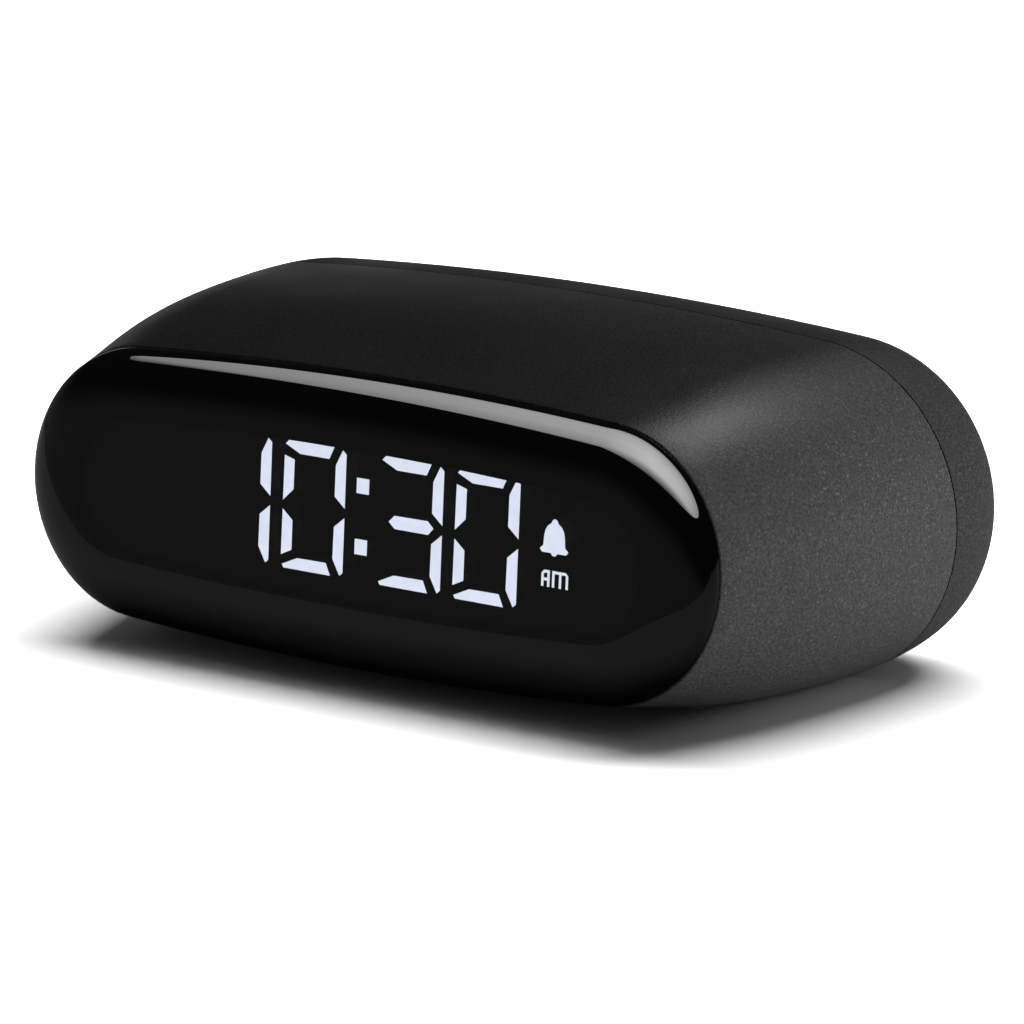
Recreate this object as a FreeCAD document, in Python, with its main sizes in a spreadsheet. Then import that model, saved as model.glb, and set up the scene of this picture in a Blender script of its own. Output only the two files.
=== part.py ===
import FreeCAD, Part
import math
import os

import Sketcher
from FreeCAD import Placement, Rotation, Vector

# A small bedside alarm clock: a pebble-shaped tube closed by a smoked front lens that leans
# back a little and by a rounded rear cover with four keys and an alarm switch. A lit
# seven-segment display stands behind the lens, two AAA cells lie in a bay under the floor.
# Millimetres, origin on the table under the middle of the clock, front towards -Y, +Z up.

SIZES = {
    # outer form
    "front_width": 88.2,
    "front_height": 31.0,
    "top_rise": 1.0,
    "depth": 47.6,
    "width_growth": 0.106,
    "width_bulge": 0.072,
    "height_growth": 0.119,
    "height_bulge": 0.160,
    "lean": 3.8,
    "front_y": -22.1,
    "belly_cut": 1.59,
    "rear_rounding": 9.1,
    "seam_depth": 33.1,
    "seam_gap": 0.2,
    "wall": 2.0,
    "under_gap": 0.2,
    "floor": 2.2,
    # lens
    "lens_gap": 0.15,
    "lens_rise": 3.6,
    "lens_edge": 0.3,
    "lens_roll": 6.8,
    "lens_wall": 1.8,
    "skirt_depth": 3.0,
    "skirt_wall": 1.6,
    # display
    "mask_gap": 0.3,
    "mask_thickness": 0.6,
    "digit_width": 8.04,
    "digit_height": 13.4,
    "digit_rise": 1.02,
    "well_depth": 5.4,
    "well_margin": 1.5,
    "board_thickness": 1.2,
    "lamp_height": 0.7,
    "carrier_depth": 2.6,
    "carrier_thickness": 1.6,
    # keys on the rear
    "key_radius": 3.0,
    "key_travel": 0.7,
    "key_proud": 0.8,
    "fit": 0.08,
    "key_flange": 0.9,
    "key_flange_reach": 0.9,
    "skin_gap": 0.1,
    "key_pitch": 10.5,
    "first_key_x": -17.0,
    "plunger_radius": 1.75,
    "slider_x": 29.0,
    "slider_travel": 3.0,
    "slider_plate": 0.9,
    "slider_proud": 0.8,
    "grip_pitch": 0.8,
    # battery bay
    "cell_radius": 5.15,
    "cell_length": 44.5,
    "cell_end_room": 2.35,
    "cell_gap": 0.3,
    "bay_setback": 9.6,
    "bay_wall": 1.5,
    "door_gap": 0.3,
    "door_thickness": 1.6,
    "door_under": 0.9,
    "hinge_radius": 0.8,
    # boards and screws
    "main_board_thickness": 1.6,
    "main_board_gap": 5.6,
    "screw_inset": 5.54,
    "screw_radius": 1.25,
    "screw_head": 2.4,
    "small_screw_radius": 0.9,
    "small_screw_head": 1.9,
    "post_inset": 8.5,
    "post_rise": 6.5,
    # touch sensor
    "foil_thickness": 0.3,
    "leaf_thickness": 0.25,
}

doc = FreeCAD.newDocument("alarm_clock")
sheet = doc.addObject("Spreadsheet::Sheet", "dims")
for row, (word, number) in enumerate(SIZES.items(), start=1):
    sheet.set(f"A{row}", word)
    sheet.set(f"B{row}", str(number))
    sheet.setAlias(f"B{row}", word)
doc.recompute()


class Size:
    """A number kept together with the spreadsheet formula that gives it."""

    def __init__(self, value, text):
        self.value = value
        self.text = text

    def __add__(self, other):
        other = as_size(other)
        return Size(self.value + other.value, f"({self.text} + {other.text})")

    def __sub__(self, other):
        other = as_size(other)
        return Size(self.value - other.value, f"({self.text} - {other.text})")

    def __mul__(self, other):
        other = as_size(other)
        return Size(self.value * other.value, f"{self.text} * {other.text}")

    def __truediv__(self, other):
        other = as_size(other)
        return Size(self.value / other.value, f"{self.text} / ({other.text})")

    def __neg__(self):
        return as_size(0) - self

    def __radd__(self, other):
        return as_size(other) + self

    def __rsub__(self, other):
        return as_size(other) - self

    def __rmul__(self, other):
        return as_size(other) * self


def as_size(number):
    if isinstance(number, Size):
        return number
    return Size(float(number), f"({number})" if number < 0 else f"{number}")


def of(word):
    return Size(SIZES[word], f"dims.{word}")


def bind(thing, prop, size):
    thing.setExpression(prop, as_size(size).text)


# ---- shared stations -------------------------------------------------------------------------

FRONT = of("front_y")
REAR = FRONT + of("depth")
SEAM = FRONT + of("seam_depth")
INNER_REAR = REAR - of("wall")
FLOOR_TOP = of("under_gap") + of("floor")
FAR = as_size(80)


def half_width_at(t):
    """Half the width of the pebble at depth share t."""
    wide = 1 + of("width_growth") * t + of("width_bulge") * 4 * t * (1 - t)
    return of("front_width") * wide / 2


def height_factor(t):
    return 1 + of("height_growth") * t + of("height_bulge") * 4 * t * (1 - t)


# The belly is deepest at this share of the depth, and is cut flat by a fixed amount there.
DEEPEST = 0.5 + of("height_growth") / (8 * of("height_bulge"))
AXIS_Z = of("front_height") * height_factor(DEEPEST) / 2 - of("belly_cut")

BAY_X = of("cell_length") / 2 + of("cell_end_room")
BAY_FRONT = FRONT + of("bay_setback")
BAY_REAR = BAY_FRONT + of("cell_radius") * 4 + of("cell_gap") * 2 + 0.1
SCREW_X = half_width_at(of("seam_depth") / of("depth")) - of("wall") - of("screw_inset")
POST_X = SCREW_X - of("post_inset")

nodes = {}


def node(label, thing):
    thing.Label = label
    nodes[label] = thing
    return thing


def in_order(first, second):
    return (first, second) if first.value < second.value else (second, first)


def block(name, x0, x1, y0, y1, z0, z1):
    """A box between two corners, every side bound to its formula."""
    box = doc.addObject("Part::Box", name)
    corners = [as_size(v) for v in (x0, x1, y0, y1, z0, z1)]
    for prop, low, high in zip(("Length", "Width", "Height"), corners[0::2], corners[1::2]):
        setattr(box, prop, high.value - low.value)
        bind(box, prop, high - low)
    for axis, low in zip("xyz", corners[0::2]):
        bind(box, f"Placement.Base.{axis}", low)
    return box


def rod(name, radius, start, length, axis="y"):
    """A cylinder that starts at a point and runs along +X, +Y or +Z."""
    turn = {
        "x": Rotation(Vector(0, 1, 0), 90),
        "y": Rotation(Vector(1, 0, 0), -90),
        "z": Rotation(),
    }[axis]
    cylinder = doc.addObject("Part::Cylinder", name)
    cylinder.Placement = Placement(Vector(), turn)
    bind(cylinder, "Radius", radius)
    bind(cylinder, "Height", length)
    for letter, coordinate in zip("xyz", start):
        bind(cylinder, f"Placement.Base.{letter}", coordinate)
    return cylinder


def fuse(name, *things):
    result = doc.addObject("Part::MultiFuse", name)
    result.Shapes = list(things)
    return result


def common(name, first, second):
    result = doc.addObject("Part::Common", name)
    result.Base = first
    result.Tool = second
    return result


def cut(name, first, *tools):
    """The first shape less all the others."""
    tool = tools[0] if len(tools) == 1 else fuse(f"{name}_tools", *tools)
    result = doc.addObject("Part::Cut", name)
    result.Base = first
    result.Tool = tool
    return result


# ---- sketches --------------------------------------------------------------------------------


def new_body(name, leaning=False):
    """A body, either in the clock's own frame or in the leaning frame of the front."""
    body = doc.addObject("PartDesign::Body", name)
    body.AllowCompound = True
    if leaning:
        angle = -of("lean")
        body.Placement = Placement(
            Vector(0, FRONT.value, AXIS_Z.value), Rotation(Vector(1, 0, 0), angle.value)
        )
        bind(body, "Placement.Base.y", FRONT)
        bind(body, "Placement.Base.z", AXIS_Z)
        bind(body, "Placement.Rotation.Angle", angle)
    return body


def sketch_on(body, name, plane="XZ_Plane", offset=0):
    """A sketch on an origin plane of the body, moved along that plane's normal."""
    sketch = body.newObject("Sketcher::SketchObject", name)
    origin_plane = next(p for p in body.Origin.OriginFeatures if p.Role == plane)
    sketch.AttachmentSupport = (origin_plane, [""])
    sketch.MapMode = "FlatFace"
    bind(sketch, "AttachmentOffset.Base.z", offset)
    return sketch


def dimension(sketch, constraint, size, *where):
    index = sketch.addConstraint(Sketcher.Constraint(constraint, *where, size.value))
    bind(sketch, f"Constraints[{index}]", size)


def draw_oval(sketch, half_width, half_height, end_radius):
    """Two end arcs joined by two flat arcs, all tangent."""
    reach = half_width - end_radius
    rise = half_height - end_radius
    flat_radius = (reach * reach + rise * (half_height + end_radius)) / (rise * 2)
    drop = flat_radius - half_height
    joint = math.atan2(drop.value, reach.value)
    quarters = [
        (Vector(reach.value, 0, 0), end_radius.value, -joint, joint),
        (Vector(0, -drop.value, 0), flat_radius.value, joint, math.pi - joint),
        (Vector(-reach.value, 0, 0), end_radius.value, math.pi - joint, math.pi + joint),
        (Vector(0, drop.value, 0), flat_radius.value, math.pi + joint, 2 * math.pi - joint),
    ]
    for centre, radius, first, last in quarters:
        circle = Part.Circle(centre, Vector(0, 0, 1), radius)
        sketch.addGeometry(Part.ArcOfCircle(circle, first, last))
    for arc in range(2):
        sketch.addConstraint(Sketcher.Constraint("Tangent", arc, 2, arc + 1, 1))
        sketch.addConstraint(Sketcher.Constraint("Coincident", arc + 2, 2, (arc + 3) % 4, 1))
        sketch.addConstraint(Sketcher.Constraint("Symmetric", 2 * arc, 1, 2 * arc, 2, -1))
        sketch.addConstraint(Sketcher.Constraint("Equal", arc, arc + 2))
    sketch.addConstraint(Sketcher.Constraint("PointOnObject", 1, 3, -2))
    dimension(sketch, "Radius", end_radius, 0)
    dimension(sketch, "Radius", flat_radius, 1)
    dimension(sketch, "DistanceY", drop, 1, 3, -1, 1)


def draw_polygon(sketch, corners):
    """A closed outline whose corners are placed one by one from the sketch origin."""
    first = sketch.GeometryCount
    count = len(corners)
    points = [Vector(x.value, y.value, 0) for x, y in corners]
    for k in range(count):
        sketch.addGeometry(Part.LineSegment(points[k], points[(k + 1) % count]))
    for k in range(count):
        following = first + (k + 1) % count
        sketch.addConstraint(Sketcher.Constraint("Coincident", first + k, 2, following, 1))
    for k, (x, y) in enumerate(corners):
        dimension(sketch, "DistanceX", x, -1, 1, first + k, 1)
        dimension(sketch, "DistanceY", y, -1, 1, first + k, 1)


def rectangle(x0, x1, y0, y1):
    x0, x1, y0, y1 = (as_size(v) for v in (x0, x1, y0, y1))
    return [(x0, y0), (x1, y0), (x1, y1), (x0, y1)]


def draw_rectangle(sketch, *sides):
    draw_polygon(sketch, rectangle(*sides))


def draw_circle(sketch, x, y, radius):
    x, y, radius = (as_size(v) for v in (x, y, radius))
    circle = Part.Circle(Vector(x.value, y.value, 0), Vector(0, 0, 1), radius.value)
    geometry = sketch.addGeometry(circle)
    dimension(sketch, "Radius", radius, geometry)
    dimension(sketch, "DistanceX", x, -1, 1, geometry, 3)
    dimension(sketch, "DistanceY", y, -1, 1, geometry, 3)


def pad(body, name, sketch, length):
    """Adds the sketched outline, along the sketch plane's normal."""
    feature = body.newObject("PartDesign::Pad", name)
    feature.Profile = sketch
    bind(feature, "Length", length)
    return feature


def pocket(body, name, sketch, length):
    """Removes the sketched outline, along the sketch plane's normal."""
    feature = body.newObject("PartDesign::Pocket", name)
    feature.Profile = sketch
    feature.Reversed = True
    bind(feature, "Length", length)
    return feature


def fillet(body, name, feature, radius, wanted):
    """Rounds the edges of a feature whose middle passes the test."""
    doc.recompute()
    edges = [
        f"Edge{k}"
        for k, edge in enumerate(feature.Shape.Edges, start=1)
        if wanted(edge.BoundBox)
    ]
    rounding = body.newObject("PartDesign::Fillet", name)
    rounding.Base = (feature, edges)
    bind(rounding, "Radius", radius)
    return rounding


# ---- outer form ------------------------------------------------------------------------------


def section_sizes(t, inset):
    """Half width, half height and end radius of the oval at depth share t."""
    high = height_factor(t)
    half_width = half_width_at(t) - inset
    half_height = of("front_height") * high / 2 - inset
    return half_width, half_height, half_height - of("top_rise") * high


def envelope(name, inset):
    """The pebble set in by a wall: ovals that lean less and less, then a rounded rear edge."""
    body = new_body(name)
    inset = as_size(inset)
    rounding = of("rear_rounding") - inset
    straight = 1 - of("rear_rounding") / of("depth")
    stations = [(straight * share, inset) for share in (0, 0.25, 0.5, 0.75, 1)]
    for degrees in (22.5, 45, 67.5, 90):
        turn = math.radians(degrees)
        along = round(math.sin(turn), 6)
        inwards = round(1 - math.cos(turn), 6)
        stations.append(
            (straight + rounding * along / of("depth"), inset + rounding * inwards)
        )
    sections = []
    for share, set_in in stations:
        sketch = body.newObject("Sketcher::SketchObject", f"{name}_section")
        draw_oval(sketch, *section_sizes(share, set_in))
        y = FRONT + of("depth") * share
        tilt = 90 - of("lean") * (1 - share)
        sketch.Placement = Placement(
            Vector(0, y.value, AXIS_Z.value), Rotation(Vector(1, 0, 0), tilt.value)
        )
        bind(sketch, "Placement.Base.y", y)
        bind(sketch, "Placement.Base.z", AXIS_Z)
        bind(sketch, "Placement.Rotation.Angle", tilt)
        sections.append(sketch)
    loft = body.newObject("PartDesign::AdditiveLoft", f"{name}_loft")
    loft.Profile = (sections[0], [""])
    loft.Sections = [(section, [""]) for section in sections[1:]]
    return body


outer = envelope("outer_form", 0)
hollow = envelope("inner_form", of("wall"))
floor_block = block("floor_block", -FAR, FAR, -FAR, FAR, -FAR, FLOOR_TOP)
under_block = block("under_block", -FAR, FAR, -FAR, FAR, -FAR, of("under_gap"))
void = cut("void", hollow, floor_block)
shell = cut("shell", outer, void, under_block)
front_half = block("front_half", -FAR, FAR, -FAR, SEAM, -FAR, FAR)
rear_half = block("rear_half", -FAR, FAR, SEAM + of("seam_gap"), FAR, -FAR, FAR)

# ---- housing sleeve --------------------------------------------------------------------------

sleeve_tube = common("sleeve_tube", shell, front_half)
CELL_Z = of("door_under") + of("door_thickness") + of("cell_gap") + of("cell_radius")
bay_top = CELL_Z + of("cell_radius") + of("cell_gap") + 0.1
BAY_OUTER_X = BAY_X + of("bay_wall")
bay_box = block(
    "bay_box",
    -BAY_OUTER_X,
    BAY_OUTER_X,
    BAY_FRONT - of("bay_wall"),
    BAY_REAR + of("bay_wall"),
    of("under_gap") + 0.6,
    bay_top + of("bay_wall"),
)
bay_hollow = block("bay_hollow", -BAY_X, BAY_X, BAY_FRONT, BAY_REAR, -1, bay_top)
HINGE_Y = BAY_REAR - 1.3
HINGE_Z = of("door_under") + of("hinge_radius")
PIN_RADIUS = of("hinge_radius") - 0.2
PIN_REACH = BAY_X + 1.0
hinge_bore = rod(
    "hinge_bore",
    PIN_RADIUS + of("fit"),
    (-PIN_REACH - 0.2, HINGE_Y, HINGE_Z),
    PIN_REACH * 2 + 0.4,
    "x",
)

sleeve_parts = [sleeve_tube, bay_box]
sleeve_holes = [bay_hollow, hinge_bore]
for side, name in ((-1, "left"), (1, "right")):
    screw_x = side * SCREW_X
    sleeve_parts.append(rod(f"boss_{name}", 3.4, (screw_x, SEAM - 11, AXIS_Z), 11))
    inner, reach = in_order(screw_x + side * 0.5, screw_x + side * 6.1)
    sleeve_parts.append(
        block(f"rib_{name}", inner, reach, SEAM - 11, SEAM - 3.6, AXIS_Z - 1.2, AXIS_Z + 1.2)
    )
    sleeve_holes.append(
        rod(
            f"pilot_{name}",
            of("screw_radius") + 0.05,
            (screw_x, SEAM - 9.5, AXIS_Z),
            20,
        )
    )

FOOT_X = (BAY_OUTER_X + 0.8, BAY_OUTER_X + 6.0)
FOOT_Y = (BAY_FRONT + 3.9, BAY_REAR + 0.9)
feet = []
for side, name in ((-1, "left"), (1, "right")):
    body = new_body(f"foot_{name}_body")
    pad_sketch = sketch_on(body, f"foot_{name}_sketch", "XY_Plane")
    near, far = in_order(*[side * x for x in FOOT_X])
    draw_rectangle(pad_sketch, near, far, *FOOT_Y)
    foot_pad = pad(body, f"foot_{name}_pad", pad_sketch, of("under_gap") + 0.5)
    fillet(body, f"foot_{name}_corners", foot_pad, 1.5, lambda box: box.ZLength > 0.3)
    feet.append(node(f"foot_{name}", body))

sleeve_solid = fuse("sleeve_solid", *sleeve_parts)
node("housing_sleeve", cut("sleeve", common("sleeve_trim", sleeve_solid, outer),
                           *sleeve_holes, *feet))

# ---- front lens ------------------------------------------------------------------------------


def front_oval(sketch, inset):
    draw_oval(sketch, *section_sizes(as_size(0), as_size(inset)))


# The edge rolls over along a quarter of an ellipse, wide across the front and shallow in depth.
lens = new_body("lens_body", leaning=True)
rim_sketch = sketch_on(lens, "rim_outline")
front_oval(rim_sketch, of("lens_gap"))
pad(lens, "rim", rim_sketch, of("lens_edge"))
roll_sections = []
for degrees in (0, 22.5, 45, 67.5, 90):
    turn = math.radians(degrees)
    forwards = (of("lens_rise") - of("lens_edge")) * round(math.sin(turn), 6)
    set_in = of("lens_roll") * round(1 - math.cos(turn), 6)
    section = sketch_on(lens, "roll_section", offset=of("lens_edge") + forwards)
    front_oval(section, of("lens_gap") + set_in)
    roll_sections.append(section)
roll = lens.newObject("PartDesign::AdditiveLoft", "rolled_edge")
roll.Profile = (roll_sections[0], [""])
roll.Sections = [(section, [""]) for section in roll_sections[1:]]
skirt_sketch = sketch_on(lens, "skirt_outline", offset=-of("skirt_depth"))
front_oval(skirt_sketch, of("wall") + of("lens_gap"))
pad(lens, "skirt", skirt_sketch, of("skirt_depth"))
dish_sketch = sketch_on(lens, "dish_outline", offset=-of("skirt_depth"))
SKIRT_INSET = of("wall") + of("lens_gap") + of("skirt_wall")
front_oval(dish_sketch, SKIRT_INSET)
pocket(lens, "dish", dish_sketch, of("skirt_depth") + of("lens_rise") - of("lens_wall"))
node("front_lens", lens)

# ---- lit segments ----------------------------------------------------------------------------

# Corners of each segment as shares of the digit's width and height, from its middle.
SEGMENTS = {
    "a": [(-0.485, 0.466), (-0.43, 0.5), (0.3, 0.5), (0.225, 0.403), (-0.245, 0.403)],
    "b": [(0.44, 0.487), (0.5, 0.458), (0.5, 0.037), (0.33, 0.12), (0.333, 0.362)],
    "c": [(0.5, -0.034), (0.5, -0.462), (0.45, -0.487), (0.33, -0.366), (0.335, -0.116)],
    "d": [(-0.485, -0.474), (-0.24, -0.409), (0.225, -0.406), (0.3, -0.5), (-0.455, -0.5)],
    "e": [(-0.5, -0.041), (-0.335, -0.12), (-0.335, -0.352), (-0.505, -0.4)],
    "f": [(-0.495, 0.378), (-0.332, 0.352), (-0.335, 0.12), (-0.5, 0.026)],
    "g": [(-0.35, 0), (-0.262, 0.052), (0.268, 0.055), (0.362, 0.004), (0.28, -0.05),
          (-0.25, -0.05)],
}
DIGITS = {
    "hour_tens": ("bc", -15.2),
    "hour_units": ("abcdef", -5.5),
    "minute_tens": ("abcdg", 7.02),
    "minute_units": ("abcdef", 16.64),
}
COLON = (0.75, 1.6, 3.17)
BELL_X = 25.12
# Right half of the bell, from the clapper under its rim up to the knob on its crown.
HALF_BELL = [
    (0.2, 0.44), (0.42, 0.72), (1.5, 0.72), (1.78, 1.05), (1.36, 1.42), (1.28, 2.5),
    (1.14, 3.05), (0.84, 3.5), (0.42, 3.78), (0.3, 4.1),
]
# The two letters, each from the lower left corner of its own place.
MARK_LEFT = 23.68
MARK_LOW = -2.76
LETTER_A = [
    (0, 0), (0, 1.36), (0.34, 1.7), (1.04, 1.7), (1.04, 0), (0.74, 0), (0.74, 0.61),
    (0.3, 0.61), (0.3, 0),
]
A_EYE = [(0.3, 0.9), (0.74, 0.9), (0.74, 1.41), (0.44, 1.41), (0.3, 1.26)]
LETTER_M = [
    (1.34, 0), (1.34, 1.7), (3.02, 1.7), (3.34, 1.38), (3.34, 0), (3.04, 0), (3.04, 1.41),
    (2.49, 1.41), (2.49, 0), (2.19, 0), (2.19, 1.41), (1.64, 1.41), (1.64, 0),
]


def digit_outlines(name):
    """The lit segments of one digit, as corner lists in the front's own frame."""
    letters, middle = DIGITS[name]
    return [
        [
            (middle + of("digit_width") * across, of("digit_rise") + of("digit_height") * up)
            for across, up in SEGMENTS[letter]
        ]
        for letter in letters
    ]


def placed_outline(points, across, up):
    return [(as_size(round(x + across, 3)), as_size(round(y + up, 3))) for x, y in points]


def square_outline(x, z, half):
    return rectangle(x - half, x + half, z - half, z + half)


def colon_outlines():
    across, side, spread = COLON
    return [
        square_outline(as_size(across), of("digit_rise") + way * spread, side / 2)
        for way in (-1, 1)
    ]


LIT = {f"{name}_segments": digit_outlines(name) for name in DIGITS}
LIT["colon_dots"] = colon_outlines()
bell = HALF_BELL + [(0, 4.22)] + [(-x, y) for x, y in reversed(HALF_BELL)]
LIT["bell_icon"] = [placed_outline(bell, BELL_X, 0)]
LIT["am_mark"] = [
    placed_outline(outline, MARK_LEFT, MARK_LOW) for outline in (LETTER_A, A_EYE, LETTER_M)
]

MASK_FRONT = of("lens_rise") - of("lens_wall") - of("mask_gap")
MASK_BACK = MASK_FRONT - of("mask_thickness")


def prisms(name, outlines, back, depth):
    """One straight prism per outline, standing in the leaning frame of the front."""
    body = new_body(f"{name}_body", leaning=True)
    sketch = sketch_on(body, f"{name}_outlines", offset=back)
    for outline in outlines:
        draw_polygon(sketch, outline)
    pad(body, f"{name}_pad", sketch, depth)
    return body


for name, outlines in LIT.items():
    node(name, prisms(name, outlines, MASK_BACK, of("mask_thickness")))

mark_wells = [
    rectangle(BELL_X - 2, BELL_X + 2, 0.2, 4.5),
    rectangle(MARK_LEFT - 0.4, MARK_LEFT + 3.7, MARK_LOW - 0.3, MARK_LOW + 2.0),
]
light_wells = prisms(
    "light_wells",
    [outline for name in list(LIT)[:5] for outline in LIT[name]] + mark_wells,
    MASK_BACK - of("well_depth"),
    of("well_depth"),
)

mask_body = new_body("mask_plate", leaning=True)
mask_sketch = sketch_on(mask_body, "mask_outline", offset=MASK_BACK)
front_oval(mask_sketch, SKIRT_INSET + 0.25)
pad(mask_body, "mask_pad", mask_sketch, of("mask_thickness"))
node("display_mask", cut("mask", mask_body, *[nodes[name] for name in LIT]))

margin = of("well_margin")
REFLECTOR = (
    DIGITS["hour_tens"][1] + of("digit_width") * 0.33 - margin,
    BELL_X + 2.2 + margin,
    of("digit_rise") - of("digit_height") / 2 - margin,
    of("digit_rise") + of("digit_height") / 2 + margin,
)
reflector_body = prisms(
    "reflector_block",
    [rectangle(*REFLECTOR)],
    MASK_BACK - of("well_depth"),
    of("well_depth"),
)
node("segment_reflector", cut("reflector", reflector_body, light_wells))

# ---- display board, its lamps and its carrier ------------------------------------------------

BOARD_FRONT = MASK_BACK - of("well_depth")
board = new_body("display_board_body", leaning=True)
board_sketch = sketch_on(board, "display_board_outline", offset=BOARD_FRONT - of("board_thickness"))
draw_rectangle(
    board_sketch, -REFLECTOR[1] - 1.2, REFLECTOR[1] + 1.2, REFLECTOR[2] - 1.2, REFLECTOR[3] + 1.2
)
board_pad = pad(board, "display_board_pad", board_sketch, of("board_thickness"))
fillet(board, "display_board_corners", board_pad, 1.2, lambda box: box.YLength > 0.5)
node("display_board", board)


def middle_of(outline):
    share = 1 / len(outline)
    x = sum(point[0].value for point in outline) * share
    z = sum(point[1].value for point in outline) * share
    return as_size(round(x, 2)), as_size(round(z, 2))


lamp_spots = [middle_of(outline) for name in list(LIT)[:5] for outline in LIT[name]]
lamp_spots.append((as_size(BELL_X), as_size(2.1)))
node(
    "segment_lamps",
    prisms(
        "segment_lamps",
        [square_outline(x, z, 0.4) for x, z in lamp_spots],
        BOARD_FRONT,
        of("lamp_height"),
    ),
)

carrier = new_body("carrier_body", leaning=True)
carrier_sketch = sketch_on(carrier, "carrier_outline", offset=-of("carrier_depth"))
front_oval(carrier_sketch, SKIRT_INSET + 0.2)
pad(carrier, "carrier_plate", carrier_sketch, of("carrier_thickness"))
window_sketch = sketch_on(carrier, "carrier_window", offset=-of("carrier_depth"))
draw_rectangle(
    window_sketch, REFLECTOR[0] - 0.1, REFLECTOR[1] + 0.1, REFLECTOR[2] - 0.1, REFLECTOR[3] + 0.1
)
pocket(carrier, "carrier_opening", window_sketch, of("carrier_thickness"))
node("display_carrier", carrier)

# ---- rear cover ------------------------------------------------------------------------------

cover_wall = common("cover_wall", shell, rear_half)
lip_outer = envelope("lip_outer", of("wall") + 0.15)
lip_inner = envelope("lip_inner", of("wall") + 1.5)
lip_zone = block("lip_zone", -FAR, FAR, SEAM - 3, SEAM + 3, FLOOR_TOP + 0.15, FAR)
lip_tie_zone = block("lip_tie_zone", -FAR, FAR, SEAM + of("seam_gap"), SEAM + 3, FLOOR_TOP, FAR)
lip_ring = common("lip_ring", cut("lip_shell", lip_outer, lip_inner), lip_zone)
lip_tie = common("lip_tie", cut("lip_tie_shell", outer, lip_inner), lip_tie_zone)

cover_parts = [cover_wall, lip_ring, lip_tie]
cover_holes = []
POST_Z = (AXIS_Z - of("post_rise"), AXIS_Z + of("post_rise"))
MAIN_REAR = INNER_REAR - of("main_board_gap")
for side, name in ((-1, "left"), (1, "right")):
    screw_x = side * SCREW_X
    column_start = SEAM + of("seam_gap")
    cover_parts.append(
        rod(f"column_{name}", 3.6, (screw_x, column_start, AXIS_Z), REAR - column_start)
    )
    cover_holes.append(
        rod(f"clearance_{name}", 1.5, (screw_x, SEAM - 4, AXIS_Z), 30)
    )
    cover_holes.append(
        rod(f"counterbore_{name}", of("screw_head") + 0.2, (screw_x, SEAM + 6, AXIS_Z), 20)
    )
    for level, z in zip(("low", "high"), POST_Z):
        spot = (side * POST_X, MAIN_REAR, z)
        cover_parts.append(rod(f"post_{name}_{level}", 2.2, spot, REAR - 1 - MAIN_REAR))
        bore = of("small_screw_radius") + 0.05
        cover_holes.append(rod(f"post_bore_{name}_{level}", bore, spot, 4.5))

KEYS = ("set", "hour", "minute", "alarm")
key_x = {name: of("first_key_x") + of("key_pitch") * k for k, name in enumerate(KEYS)}
for name, x in key_x.items():
    cover_holes.append(
        rod(f"key_hole_{name}", of("key_radius") + of("fit"), (x, INNER_REAR - 1, AXIS_Z), 5)
    )
KNOB = (2.6, 1.6)
SLOT_X = (of("slider_x") - KNOB[0] - of("slider_travel") - 0.2, of("slider_x") + KNOB[0] + 0.2)
cover_holes.append(
    block("slider_slot", *SLOT_X, INNER_REAR - 1, REAR + 2, AXIS_Z - KNOB[1] - 0.15,
          AXIS_Z + KNOB[1] + 0.15)
)
SOUND_X = -29.0
sound_spots = [(0, 0)] + [
    (2.1 * math.cos(math.radians(60 * k)), 2.1 * math.sin(math.radians(60 * k))) for k in range(6)
]
for k, (across, up) in enumerate(sound_spots):
    cover_holes.append(
        rod(
            f"sound_hole_{k}",
            0.6,
            (SOUND_X + round(across, 3), INNER_REAR - 1, AXIS_Z + round(up, 3)),
            5,
        )
    )
cover_solid = fuse("cover_solid", *cover_parts)
cover_holes.append(
    block("bay_clearance", -BAY_OUTER_X - 1.9, BAY_OUTER_X + 1.9, -FAR, SEAM + 0.1, -FAR,
          bay_top + of("bay_wall") + 2.6)
)
node("rear_cover", cut("cover", common("cover_trim", cover_solid, outer), *cover_holes))

# ---- keys ------------------------------------------------------------------------------------

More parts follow.
